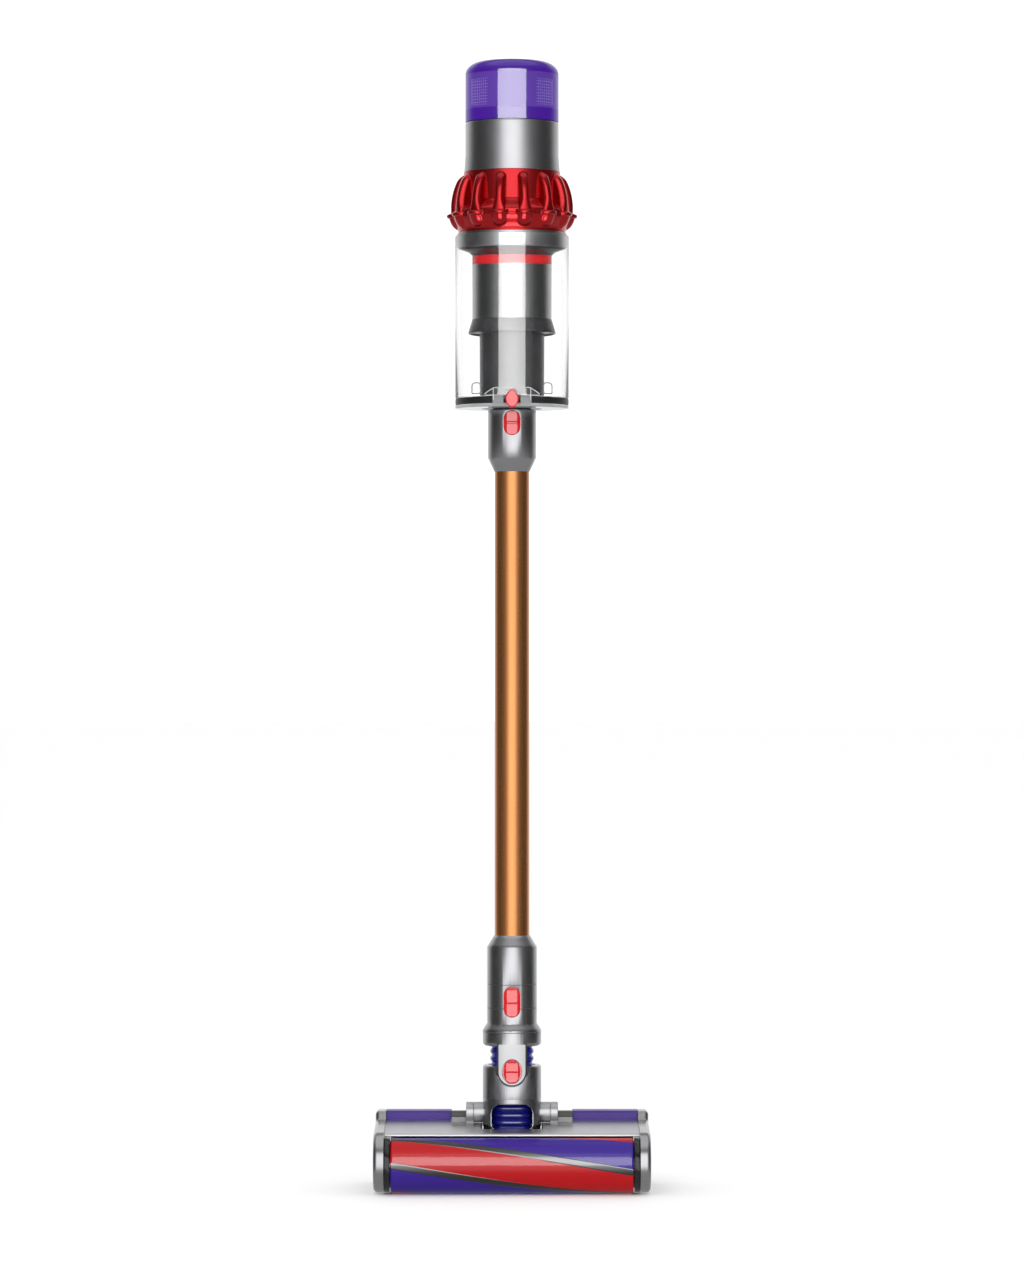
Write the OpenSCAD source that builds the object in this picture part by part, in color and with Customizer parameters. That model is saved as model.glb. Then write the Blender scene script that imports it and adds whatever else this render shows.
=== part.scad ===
// Cordless stick vacuum cleaner, standing upright on its motorised soft-roller head.
// The front faces -Y, X runs left to right, +Z is up.
// The origin is on the floor, under the middle of the whole object's box.

/* [Cleaner head] */
// Width of the head over its end caps
head_w = 290; // [284:1:300]
// Radius of the soft roller over its pile
roller_r = 29; // [28.5:0.25:29.5]
// Distance from the wand's axis forward to the roller's axis
roller_reach = 69; // [68:0.5:70]
// Radius of the two rear wheels
wheel_r = 9; // [8.5:0.25:9.5]
// Distance from the wand's axis back to the wheel axles
wheel_back = 41; // [40:0.5:42]

/* [Neck] */
// Height of the pitch hinge above the floor
pitch_z = 78.7; // [78:0.1:80]
// Height of the side-lean hinge above the pitch hinge
lean_rise = 45.3; // [44:0.1:47]
// Outer radius of the yoke and the collar
neck_r = 31; // [30.5:0.1:32]
// Outer radius of the trunnion barrels
barrel_r = 10.5; // [9.5:0.1:11]
// Half width of the tongue that turns in the yoke's slot
tongue_r = 15.9; // [15:0.1:16.5]

/* [Wand] */
// Outer radius of the metal tube
tube_r = 18.4; // [18:0.1:19]
// Visible length of the metal tube between its cuffs
tube_len = 491; // [300:1:600]
// Outer radius of the lower cuff
lower_cuff_r = 26.4; // [26:0.1:27]
// Length of the lower cuff
lower_cuff_h = 102; // [98:1:110]
// Outer radius of the upper cuff
upper_cuff_r = 25.6; // [25.2:0.1:26.2]
// Length of the upper cuff
upper_cuff_h = 65.7; // [62:0.1:70]

/* [Bin and cyclones] */
// Outer radius of the clear bin
bin_r = 60.3; // [60:0.1:61]
// Length of the clear bin wall
bin_h = 172; // [168:1:176]
// Number of small cyclones round the pack
cyclone_count = 14; // [12:2:16]
// Radius from the axis to each cyclone's widest place
cyclone_ring_r = 61; // [60:0.5:62]

/* [Motor, filter and handle] */
// Outer radius of the motor housing and the filter
motor_r = 49.6; // [49:0.1:50.5]
// Height of the motor housing
motor_h = 52.7; // [50:0.1:56]
// Height of the filter unit
filter_h = 69; // [66:0.5:74]
// Distance from the wand's axis back to the battery's rear face
battery_back = 152; // [150:1:156]
// Width of the battery pack
battery_w = 72; // [70:1:76]
// Height of the battery pack
battery_h = 120; // [116:1:124]

/* [Hidden] */
$fn = 64;

// Gaps: between parts that move past each other, and round a turning pin
gap = 0.35;
pin_gap = 0.05;
eps = 0.01;

// The front of the head and the back of the battery set where the wand's axis lies
cap_r = roller_r + 2.5;
head_front = roller_reach + cap_r;
axis_y = (head_front - battery_back) / 2;

// Cleaner head
roller_y = -roller_reach;
roller_z = roller_r;
chamber_r = roller_r + 1.8;
cap_face_x = head_w / 2 - 3.6;
cap_inner_x = head_w / 2 - 11;
ring_x = [cap_inner_x - 6.4, cap_inner_x - 0.2];
pile_x = ring_x[0] - 0.6;
housing_x = ring_x[0] - 0.2;
hood_y = roller_y + 7;
plate_front_z = roller_z + chamber_r + 2;
plate_rear_y = 18;
plate_rear_z = 69;
plate_t = 1.4;
head_rear = 44;
sole_z = 3;
sole_t = 2;
bay_x = neck_r + 1.6;
bay_front = -36;
bay_floor = 46;
port_r = 20;
strip_angles = [235.5, 307.5, 91.5];
strip_twist = 86;
strip_w = 8;
strip_top_z = 78.3;
core_r = [20, 24.5];
stub_r = 8;
axle_r = 2;
wheel_w = 9;
wheel_x = 100;

// Neck
lean_z = pitch_z + lean_rise;
yoke_z = [pitch_z - 14.4, lean_z + 5.1];
yoke_bore = [24.6, 21];
window = [25, 24.8, 8];
barrel_x = [neck_r - 6, 40.2, 40.6, 48.5];
pin_r = 5;
lean_pin_r = 4;
tongue_y = 24;
lean_limit = 25;
collar_z = lean_z + 25.5;
collar_h = 14.5;
spigot_r = 20.3;
spigot_h = 68;
duct_r = 17.5;
hose_x = 24;
hose_y = 20.4;
hose_pitch = 4.7;

// Wand
cuff_z = collar_z + collar_h + gap;
tube_z = cuff_z + lower_cuff_h;
upper_z = tube_z + tube_len;
body_z = upper_z + upper_cuff_h + 0.9;
socket_r = spigot_r + gap;
pill = [9.3, 32.6];
oval = [10.1, 25.2];
lower_button_z = cuff_z + 32.6;
upper_button_z = body_z - 15.5;
upper_pill_h = 26.5;
button_proud = 0.8;

// Bin and cyclone heights above the lowest face of the door
door_t = 3.7;
seal_t = 7.4;
wall_z = body_z + door_t + seal_t;
wall_t = 2.6;
skirt_z = body_z + 80;
mesh_z = body_z + 94.6;
ring_z = body_z + 151;
cone_z = body_z + 160;
pack_z = body_z + 186;
motor_z = body_z + 250.4;
filter_z = motor_z + motor_h + gap;
inner_r = 34.5;
shroud_r = 42.1;
pack_core_r = motor_r + 1.6;
door_hole_r = 32;
hinge = [bin_r + 3.4, wall_z - 3.5];

// Handle and battery
grip_z = motor_z + 20;
battery_front = battery_back - 44;
battery_z = pack_z - 25;
runner = [11, bin_r + 1.8, bin_r + 9];
trigger_pin = [68, grip_z - 11];
socket_jack_r = 2.75;
jack_y = battery_back - 0.6;
jack_z = battery_z + 18;

// ---------- Shared shapes ----------

// Everything is drawn round the wand's axis and then moved to the common origin
module on_axis() {
    translate([0, axis_y, 0]) children();
}

// A ring of revolution between two radii
module ring(r_in, r_out, z, h) {
    translate([0, 0, z]) difference() {
        cylinder(r = r_out, h = h);
        translate([0, 0, -1]) cylinder(r = r_in, h = h + 2);
    }
}

// A cylinder along X between two places
module bar_x(r, x0, x1, y, z) {
    translate([x0, y, z]) rotate([0, 90, 0]) cylinder(r = r, h = x1 - x0);
}

// A cylinder along Y between two places
module bar_y(r, y0, y1, z) {
    translate([0, y0, z]) rotate([-90, 0, 0]) cylinder(r = r, h = y1 - y0);
}

// A cylinder along Y at its own place across the width
module bar_y_at(x, r, y0, y1, z) {
    translate([x, 0, 0]) bar_y(r, y0, y1, z);
}

// A slab set by two opposite corners
module slab(low, high) {
    translate(low) cube(high - low);
}

// A side profile, drawn as y and z, made into a bar along X
module along_x(x0, x1) {
    translate([x0, 0, 0]) rotate([90, 0, 90]) linear_extrude(height = x1 - x0) children();
}

// A front outline, drawn as x and z, pushed along Y between two places
module along_y(y0, y1) {
    translate([0, y1, 0]) rotate([90, 0, 0]) linear_extrude(height = y1 - y0) children();
}

// A stadium outline, standing upright round the origin
module pill_shape(half_w, tall) {
    for (s = [-1, 1]) translate([0, s * (tall / 2 - half_w)]) circle(r = half_w, $fn = 128);
    square([2 * half_w, tall - 2 * half_w], center = true);
}

// A release button: an upright pill whose face follows the cuff it sits in
module release_button(z, half_w, tall, face_r, back_y) {
    intersection() {
        translate([0, 0, z]) along_y(-face_r - 5, -back_y)
            pill_shape(half_w - gap / 2, tall - gap);
        translate([0, 0, z - tall]) cylinder(r = face_r, h = 2 * tall, $fn = 256);
    }
}

// The pocket that a release button sits in
module button_pocket(z, half_w, tall, floor_y) {
    translate([0, 0, z]) along_y(-neck_r - 5, -floor_y) pill_shape(half_w, tall);
}

// A round corner for a profile of revolution
function arc(cx, cz, r, a0, a1, n = 8) =
    [for (i = [0 : n]) let (a = a0 + (a1 - a0) * i / n) [cx + r * cos(a), cz + r * sin(a)]];

// ---------- Cleaner head ----------

module head_profile() {
    difference() {
        polygon([
            [hood_y, plate_front_z - plate_t], [plate_rear_y, plate_rear_z - plate_t],
            [head_rear - 2, plate_rear_z - plate_t - 6], [head_rear, 12],
            [head_rear, sole_z + sole_t + 3], [head_rear - 3, sole_z + sole_t],
            [roller_y + 26, sole_z + sole_t]
        ]);
        translate([roller_y, roller_z]) circle(r = chamber_r);
    }
}

module head_cavity() {
    difference() {
        translate([roller_y + 20, 0]) square([head_rear - 2.4 - roller_y - 20, plate_front_z - 4.5]);
        translate([roller_y, roller_z]) circle(r = chamber_r + 2.2);
        translate([head_rear - 4, 0]) square([10, 20]);
    }
}

module head_housing() {
    color([0.42, 0.42, 0.44]) on_axis() difference() {
        along_x(-housing_x, housing_x) head_profile();
        // Open sides above the soleplate
        for (s = [-1, 1]) scale([s, 1, 1]) {
            along_x(bay_x + 3, wheel_x - 12) head_cavity();
            along_x(wheel_x + 12, housing_x - 2.5) head_cavity();
        }
        // Suction duct from the roller chamber to the hose port
        slab([-bay_x + 3, roller_y + 24, 9], [bay_x - 3, head_rear - 8, bay_floor - 4]);
        translate([0, 0, 20]) cylinder(r = port_r - 2.4, h = 40);
        // Bay that the yoke swings in
        slab([-bay_x, bay_front, bay_floor], [bay_x, head_rear + 5, 90]);
        // Wheel wells
        for (s = [-1, 1]) slab([s * wheel_x - wheel_w / 2 - 1, wheel_back - wheel_r - 1.5, -1],
            [s * wheel_x + wheel_w / 2 + 1, wheel_back + wheel_r + 5, 2 * wheel_r + 2]);
        for (s = [-1, 1]) bar_x(axle_r, s * wheel_x - 9, s * wheel_x + 9, wheel_back, wheel_r);
        // Seats of the hinge blocks
        for (s = [-1, 1]) scale([s, 1, 1])
            slab([barrel_x[2] - 0.1, -9, plate_rear_z - 17], [64.1, plate_rear_y, 90]);
    }
}

module top_plate() {
    color([0.72, 0.72, 0.74]) on_axis() difference() {
        along_x(0.3 - cap_inner_x, cap_inner_x - 0.3) polygon([
            [hood_y, plate_front_z - plate_t], [hood_y, plate_front_z],
            [plate_rear_y, plate_rear_z], [plate_rear_y, plate_rear_z - plate_t]
        ]);
        slab([-bay_x, bay_front, 0], [bay_x, head_rear, 90]);
        for (s = [-1, 1]) scale([s, 1, 1])
            slab([barrel_x[2] - 0.1, -9, 0], [64.1, head_rear, 90]);
    }
}

module soleplate() {
    color([0.2, 0.2, 0.22]) on_axis() difference() {
        slab([-housing_x, roller_y + 27, sole_z], [housing_x, head_rear - 6, sole_z + sole_t]);
        for (s = [-1, 1]) slab([s * wheel_x - wheel_w / 2 - 1, wheel_back - wheel_r - 1.5, 0],
            [s * wheel_x + wheel_w / 2 + 1, head_rear + 5, 10]);
    }
}

module cap_profile() {
    intersection() {
        union() {
            hull() {
                translate([roller_y, roller_z + 2.7]) circle(r = cap_r);
                translate([plate_rear_y - 6, plate_rear_z - 8]) circle(r = 8);
                translate([head_rear - 8, 12]) circle(r = 8);
            }
            hull() {
                translate([head_rear - 5, strip_top_z - 5]) circle(r = 5);
                translate([head_rear - 11, strip_top_z - 3]) circle(r = 3);
                translate([head_rear - 8, 20]) circle(r = 8);
            }
        }
        translate([-200, 0.6]) square([300, 100]);
    }
}

module end_cap(side) {
    on_axis() scale([side, 1, 1]) difference() {
        union() {
            along_x(cap_inner_x, cap_face_x) cap_profile();
            // Bulged face over the roller's end
            translate([cap_face_x - eps, roller_y, roller_z + 2.7]) rotate([0, 90, 0])
                cylinder(r1 = cap_r - 1, r2 = cap_r - 4, h = head_w / 2 - cap_face_x);
        }
        // Seat of the roller's stub shaft, and of the coin lock
        bar_x(stub_r, cap_inner_x - 1, cap_inner_x + 4, roller_y, roller_z);
        bar_x(11, head_w / 2 - 2.5, head_w / 2 + 1, roller_y, roller_z);
        // The cap never reaches the floor
        slab([0, -200, -20], [200, 200, 0.6]);
    }
}

module end_cap_left() { color([0.55, 0.55, 0.56]) end_cap(-1); }

module end_cap_right() { color([0.55, 0.55, 0.56]) end_cap(1); }

module end_rings() {
    color([0.08, 0.08, 0.09]) on_axis() for (s = [-1, 1]) scale([s, 1, 1]) difference() {
        bar_x(roller_r, ring_x[0], ring_x[1], roller_y, roller_z + 0.9);
        bar_x(roller_r - 9, ring_x[0] - 1, ring_x[1] + 1, roller_y, roller_z + 0.9);
    }
}

module rear_strips() {
    color([0.3, 0.16, 0.55]) on_axis() for (s = [-1, 1]) scale([s, 1, 1])
        along_x(64.2, cap_inner_x - 0.3) polygon([
            [plate_rear_y + 0.1, plate_rear_z - plate_t], [plate_rear_y + 0.1, strip_top_z - 2],
            [plate_rear_y + 2, strip_top_z], [head_rear - 5, strip_top_z],
            [head_rear - 2, strip_top_z - 4], [head_rear - 2, plate_rear_z - plate_t - 5.9]
        ]);
}

module hinge_blocks() {
    color([0.62, 0.62, 0.63]) on_axis() for (s = [-1, 1]) scale([s, 1, 1]) difference() {
        union() {
            bar_x(barrel_r, barrel_x[2], barrel_x[3], 0, pitch_z);
            slab([barrel_x[2], -8.8, plate_rear_z - 16.8], [64, plate_rear_y - 0.1, plate_rear_z - 3]);
            slab([barrel_x[2], -6, plate_rear_z - 5], [barrel_x[3], 6, pitch_z]);
            slab([barrel_x[3] - 1, 4, plate_rear_z - 5], [64, plate_rear_y - 0.1, strip_top_z - 0.8]);
        }
        bar_x(pin_r, barrel_x[2] - 1, barrel_x[3] - 2, 0, pitch_z);
    }
}

module trunnion_pins() {
    color([0.75, 0.75, 0.76]) on_axis() for (s = [-1, 1]) scale([s, 1, 1])
        bar_x(pin_r, neck_r - 3.2, barrel_x[3] - 2, 0, pitch_z);
}

module coin_lock() {
    color([0.3, 0.3, 0.32]) on_axis() difference() {
        bar_x(10.8, -head_w / 2 + 0.4, -head_w / 2 + 2.5, roller_y, roller_z);
        slab([-head_w / 2 - 1, roller_y - 8, roller_z - 1], [-head_w / 2 + 1.4, roller_y + 8, roller_z + 1]);
    }
}

// The motor inside the roller, with the stub shafts that carry both ends
module roller_motor() {
    color([0.35, 0.35, 0.37]) on_axis() {
        bar_x(17, -pile_x + 30, pile_x - 60, roller_y, roller_z);
        bar_x(stub_r, -cap_inner_x - 4, -pile_x + 31, roller_y, roller_z);
        bar_x(stub_r, pile_x - 61, cap_inner_x + 4, roller_y, roller_z);
    }
}

module wheel_axles() {
    color([0.75, 0.75, 0.76]) on_axis() for (s = [-1, 1])
        bar_x(axle_r, s * wheel_x - 9, s * wheel_x + 9, wheel_back, wheel_r);
}

// ---------- Roller ----------

module roller_core() {
    color([0.25, 0.25, 0.27]) on_axis() difference() {
        bar_x(core_r[1], -pile_x + 0.5, pile_x - 0.5, roller_y, roller_z);
        bar_x(core_r[0], -pile_x, pile_x, roller_y, roller_z);
    }
}

module roller_pile() {
    color([0.75, 0.05, 0.08]) on_axis() difference() {
        bar_x(roller_r, -pile_x, pile_x, roller_y, roller_z);
        bar_x(core_r[1], -pile_x - 1, pile_x + 1, roller_y, roller_z);
    }
}

// Helical rows of stiff filaments, set into the pile where its colours meet
module filament_strips() {
    color([0.05, 0.05, 0.05]) on_axis() translate([-pile_x + 1, roller_y, roller_z]) rotate([0, 90, 0])
        linear_extrude(height = 2 * pile_x - 2, twist = -strip_twist, slices = 30, $fn = 4)
            for (a = strip_angles) rotate(a - strip_twist / 2) translate([core_r[1] + 0.2, -strip_w / 2])
                square([roller_r - core_r[1] - 0.6, strip_w]);
}

module roller_bearings() {
    color([0.7, 0.7, 0.72]) on_axis() for (s = [-1, 1]) scale([s, 1, 1]) difference() {
        bar_x(core_r[0], pile_x - 9, pile_x - 1, roller_y, roller_z);
        bar_x(stub_r + pin_gap, pile_x - 10, pile_x, roller_y, roller_z);
    }
}

module rear_wheel(side) {
    on_axis() difference() {
        bar_x(wheel_r, side * wheel_x - wheel_w / 2, side * wheel_x + wheel_w / 2, wheel_back, wheel_r);
        bar_x(axle_r + pin_gap, side * wheel_x - 10, side * wheel_x + 10, wheel_back, wheel_r);
    }
}

module wheel_left() { color([0.15, 0.15, 0.16]) rear_wheel(-1); }

module wheel_right() { color([0.15, 0.15, 0.16]) rear_wheel(1); }

// ---------- Neck ----------

// The slot for the tongue: round about the lean hinge, and flared above it
module tongue_slot() {
    flare = lean_limit + 1;
    circle(r = tongue_r + 0.5);
    polygon([
        [-(tongue_r + 0.5) * cos(flare), (tongue_r + 0.5) * sin(flare) - eps], [0, 0],
        [(tongue_r + 0.5) * cos(flare), (tongue_r + 0.5) * sin(flare) - eps],
        [(tongue_r + 0.5 + 30 * sin(flare)) / cos(flare), 30],
        [-(tongue_r + 0.5 + 30 * sin(flare)) / cos(flare), 30]
    ]);
    for (s = [-1, 1]) polygon([
        [0, 0], [s * (tongue_r + 0.5) * cos(flare), -(tongue_r + 0.5) * sin(flare)],
        [s * (tongue_r + 0.5) / cos(flare), 0],
        [s * (tongue_r + 0.5 + 30 * sin(flare)) / cos(flare), 30], [0, 30]
    ]);
}

module yoke() {
    color([0.5, 0.5, 0.52]) on_axis() difference() {
        union() {
            translate([0, 0, yoke_z[0]]) rotate_extrude() polygon(concat(
                [[0, 0], [neck_r, 0]],
                arc(neck_r - 3, yoke_z[1] - yoke_z[0] - 3, 3, 0, 90),
                [[0, yoke_z[1] - yoke_z[0]]]
            ));
            for (s = [-1, 1]) scale([s, 1, 1]) bar_x(barrel_r, barrel_x[0], barrel_x[1], 0, pitch_z);
        }
        // Passage of the hose
        intersection() {
            translate([0, 0, yoke_z[0] - 20]) cylinder(r = yoke_bore[0], h = 120);
            slab([-40, -yoke_bore[1], 0], [40, yoke_bore[1], 300]);
        }
        // Front and rear windows with round upper corners
        along_y(-50, 50) union() {
            translate([-window[0], yoke_z[0] - 1]) square([2 * window[0], window[1] - window[2] + 1]);
            for (s = [-1, 1]) translate([s * (window[0] - window[2]), yoke_z[0] + window[1] - window[2]])
                circle(r = window[2]);
            translate([-window[0] + window[2], yoke_z[0]]) square([2 * (window[0] - window[2]), window[1]]);
        }
        // Slots of the tongues, front and rear
        for (s = [-1, 1]) scale([1, s, 1]) translate([0, 0, lean_z])
            along_y(-50, -tongue_y + gap) tongue_slot();
        bar_y(lean_pin_r + pin_gap, -40, 40, lean_z);
        for (s = [-1, 1]) scale([s, 1, 1])
            bar_x(pin_r + pin_gap, neck_r - 3.5, 60, 0, pitch_z);
    }
}

// One ribbed piece of the neck hose, flat at the front and the back
module hose(z0, z1) {
    ribs = round((z1 - z0) / hose_pitch);
    step = (z1 - z0) / ribs;
    difference() {
        intersection() {
            translate([0, 0, z0]) rotate_extrude() polygon(concat(
                [[0, 0]],
                [for (i = [0 : 2 * ribs]) [hose_x - (i % 2 == 0 ? 1.6 : 0), i * step / 2]],
                [[0, z1 - z0]]
            ));
            slab([-40, -hose_y, z0], [40, hose_y, z1]);
        }
        translate([0, 0, z0 - 1]) cylinder(r = duct_r, h = z1 - z0 + 2);
    }
}

module hose_lower() { color([0.05, 0.08, 0.55]) on_axis() hose(bay_floor + 0.1, lean_z - 10); }

module hose_upper() { color([0.05, 0.08, 0.55]) on_axis() hose(lean_z - 9.9, collar_z + 1.9); }

module neck_collar() {
    color([0.6, 0.6, 0.62]) on_axis() difference() {
        union() {
            translate([0, 0, collar_z]) rotate_extrude() polygon(concat(
                [[0, 0]],
                arc(neck_r - 4, 4, 4, -90, 0),
                [[neck_r, collar_h], [spigot_r, collar_h], [spigot_r, collar_h + spigot_h - 2],
                    [spigot_r - 2, collar_h + spigot_h], [0, collar_h + spigot_h]]
            ));
            // Tongues, front and rear
            intersection() {
                translate([0, 0, lean_z - 40]) cylinder(r = neck_r, h = 80);
                along_y(-50, 50) union() {
                    translate([0, lean_z]) circle(r = tongue_r);
                    translate([-tongue_r, lean_z]) square([2 * tongue_r, collar_z - lean_z + 4]);
                }
                difference() {
                    slab([-40, -40, 0], [40, 40, 400]);
                    slab([-50, -tongue_y, 0], [50, tongue_y, 500]);
                }
            }
        }
        translate([0, 0, collar_z - 1]) cylinder(r = duct_r, h = 200);
        // Seat of the hose's upper end
        translate([0, 0, collar_z - 1]) cylinder(r = hose_x + 0.2, h = 3);
        bar_y(lean_pin_r, -27.2, 27.2, lean_z);
        button_pocket(lean_z, oval[0], oval[1], neck_r - 2.9);
        // Notch that the lower button's catch drops into
        slab([-6, -spigot_r - 2, lower_button_z - 4], [6, -spigot_r + 1.2, lower_button_z + 4]);
    }
}

module lean_pins() {
    color([0.75, 0.75, 0.76]) on_axis() for (s = [-1, 1]) scale([1, s, 1])
        bar_y(lean_pin_r, -27.2, -yoke_bore[1] - 0.2, lean_z);
}

module neck_button() {
    color([0.85, 0.1, 0.12]) on_axis()
        release_button(lean_z, oval[0], oval[1], neck_r + button_proud, neck_r - 1.2);
}

// ---------- Wand ----------

module wand_tube() {
    color([0.8, 0.42, 0.15]) on_axis()
        ring(tube_r - 1.2, tube_r, tube_z - 25, tube_len + 50);
}

module lower_cuff() {
    color([0.5, 0.5, 0.52]) on_axis() difference() {
        translate([0, 0, cuff_z]) rotate_extrude() polygon([
            [socket_r, 0], [neck_r, 0], [neck_r, 1.6], [lower_cuff_r, 9],
            [lower_cuff_r, lower_cuff_h - 12.6], [tube_r + 0.4, lower_cuff_h],
            [tube_r, lower_cuff_h], [tube_r, lower_cuff_h - 25.2],
            [duct_r - 1.5, lower_cuff_h - 25.2], [duct_r - 1.5, spigot_h + 1], [socket_r, spigot_h + 1]
        ]);
        button_pocket(lower_button_z, pill[0], pill[1], lower_cuff_r - 3.9);
        // Bores of the spring
        bar_y(2.2, -lower_cuff_r, -socket_r - 0.3, lower_button_z);
    }
}

module upper_cuff() {
    color([0.5, 0.5, 0.52]) on_axis() difference() {
        translate([0, 0, upper_z]) rotate_extrude() polygon([
            [tube_r, 0], [tube_r + 0.4, 0], [upper_cuff_r, 14.5], [upper_cuff_r, upper_cuff_h - 1],
            [upper_cuff_r - 1, upper_cuff_h], [socket_r, upper_cuff_h], [socket_r, 36],
            [duct_r - 1.5, 36], [duct_r - 1.5, 25.2], [tube_r, 25.2]
        ]);
        button_pocket(upper_button_z, pill[0], upper_pill_h, upper_cuff_r - 3.9);
        bar_y(2.2, -upper_cuff_r, -socket_r - 0.3, upper_button_z);
    }
}

// Wiring channel inside the tube, with a contact block at each end
module wand_conduit() {
    color([0.1, 0.1, 0.1]) on_axis() {
        slab([-4, tube_r - 5.4, tube_z - 24], [4, tube_r - 2.6, upper_z + 24]);
        slab([-6, tube_r - 7, tube_z - 24], [6, tube_r - 3.6, tube_z - 10]);
        slab([-6, tube_r - 7, upper_z + 10], [6, tube_r - 3.6, upper_z + 24]);
    }
}

module button_springs() {
    color([0.75, 0.75, 0.76]) on_axis() for (b = [
        [lower_cuff_r, lower_button_z], [upper_cuff_r, upper_button_z]
    ]) difference() {
        bar_y(2.1, -b[0] + 4.1, -socket_r - 0.4, b[1]);
        bar_y(1.4, -b[0], -socket_r + 2, b[1]);
    }
}

module lower_button() {
    color([0.85, 0.1, 0.12]) on_axis() release_button(
        lower_button_z, pill[0], pill[1], lower_cuff_r + button_proud, lower_cuff_r - 2);
}

module upper_button() {
    color([0.85, 0.1, 0.12]) on_axis() release_button(
        upper_button_z, pill[0], upper_pill_h, upper_cuff_r + button_proud, upper_cuff_r - 2);
}

// ---------- Bin, shroud and cyclones ----------

module inlet_tube() {
    color([0.3, 0.3, 0.31]) on_axis() translate([0, 0, body_z]) rotate_extrude() polygon([
        [duct_r, -25], [spigot_r - 1.5, -25], [spigot_r, -23], [spigot_r, 9.3],
        [inner_r - 2.6, 9.3], [inner_r - 2.6, 12], [spigot_r, 12], [spigot_r, 150], [duct_r, 150]
    ]);
}

module inner_tube() {
    color([0.28, 0.29, 0.3]) on_axis() ring(inner_r - 2.5, inner_r, body_z + 9.3, 70.7);
}

module shroud_skirt() {
    color([0.24, 0.24, 0.25]) on_axis() translate([0, 0, skirt_z]) rotate_extrude() polygon([
        [spigot_r + 0.05, 0.1], [inner_r, 0.1], [shroud_r + 4.2, 0.1], [shroud_r + 4.2, 1.5],
        [shroud_r + 0.3, 14.5], [shroud_r - 4, 14.5], [shroud_r + 0.5, 3], [spigot_r + 0.05, 3]
    ]);
}

module shroud_mesh() {
    color([0.7, 0.71, 0.72]) on_axis() ring(shroud_r - 1.2, shroud_r, mesh_z, ring_z - mesh_z);
}

module shroud_ring() {
    color([0.8, 0.05, 0.08]) on_axis() ring(shroud_r - 3, shroud_r, ring_z, cone_z - ring_z);
}

module bin_collar() {
    color([0.45, 0.46, 0.47]) on_axis() translate([0, 0, cone_z]) rotate_extrude() polygon([
        [shroud_r - 3, 0], [shroud_r + 0.6, 0], [bin_r - wall_t - 2.6, 8.5],
        [bin_r - wall_t - 0.4, 8.5], [bin_r - wall_t - 0.4, 26], [shroud_r - 3, 26]
    ]);
}

module cyclone_core() {
    color([0.72, 0.05, 0.08]) on_axis() difference() {
        translate([0, 0, pack_z]) cylinder(r = pack_core_r, h = motor_z - pack_z);
        translate([0, 0, pack_z - 1]) cylinder(r = spigot_r + 0.1, h = 80);
        translate([0, 0, pack_z + 5]) cylinder(r = 44, h = 49);
    }
}

// The small cyclones: long round-topped cones that lean inward
module cyclone_pack() {
    color([0.8, 0.04, 0.07]) on_axis() difference() {
        for (k = [0 : cyclone_count - 1]) rotate((k + 0.5) * 360 / cyclone_count)
            translate([0, -cyclone_ring_r, pack_z + 17.5]) rotate([-12, 0, 0]) rotate_extrude() polygon(concat(
                [[0, -17], [3.5, -17]], arc(0, 0, 9.6, -30, 12), arc(0, 33, 7.6, 12, 90)
            ));
        cylinder(r = pack_core_r, h = 2 * pack_z);
    }
}

module bin_wall() {
    color([0.85, 0.9, 0.92, 0.3]) on_axis() difference() {
        union() {
            ring(bin_r - wall_t, bin_r, wall_z, bin_h);
            // Ears of the door's hinge
            for (s = [-1, 1]) scale([s, 1, 1]) {
                bar_x(3.2, 5.4, 9.4, hinge[0], hinge[1]);
                slab([5.4, bin_r + 0.3, hinge[1]], [9.4, hinge[0] + 3.2, hinge[1] + 8]);
                slab([5.4, bin_r - 1.5, wall_z], [9.4, bin_r + 0.4, hinge[1] + 8]);
            }
            // Hood over the latch at the front
            difference() {
                along_y(-bin_r - 4.4, -bin_r + 6) polygon([
                    [-30, wall_z], [30, wall_z], [17.6, wall_z + 12], [-17.6, wall_z + 12]
                ]);
                translate([0, 0, wall_z - 20]) cylinder(r = bin_r - wall_t, h = 60);
            }
        }
        bar_x(1.5, -20, 20, hinge[0], hinge[1]);
        slab([-8.6, -bin_r - 6, wall_z - 1], [8.6, -bin_r - 0.4, wall_z + 9.5]);
    }
}

module bin_lever() {
    color([0.85, 0.1, 0.12]) on_axis() {
        slab([-8, runner[2] + gap, skirt_z], [8, runner[2] + 6, skirt_z + 30]);
        slab([-6, runner[2] + 5.9, skirt_z + 24], [6, runner[2] + 11, skirt_z + 29]);
    }
}

module bin_door() {
    color([0.85, 0.9, 0.92, 0.3]) on_axis() {
        difference() {
            ring(door_hole_r, bin_r, body_z, door_t);
            // Slot that the latch reaches through
            slab([-8.6, -bin_r - 6, body_z - 1], [8.6, -bin_r + 2, wall_z]);
        }
        difference() {
            union() {
                bar_x(3.2, -5, 5, hinge[0], hinge[1]);
                slab([-5, bin_r - 4, body_z], [5, hinge[0], body_z + door_t]);
                slab([-5, hinge[0] - 3.2, body_z + 1], [5, hinge[0] + 3.2, hinge[1]]);
            }
            bar_x(1.5 + pin_gap, -6, 6, hinge[0], hinge[1]);
            translate([0, 0, wall_z - 20]) cylinder(r = bin_r, h = 40);
        }
    }
}

module door_seal() {
    color([0.05, 0.05, 0.05]) on_axis() difference() {
        ring(bin_r - 7, bin_r, body_z + door_t, seal_t - 0.2);
        slab([-8.6, -bin_r - 6, body_z - 1], [8.6, -bin_r + 2, wall_z]);
    }
}

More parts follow.
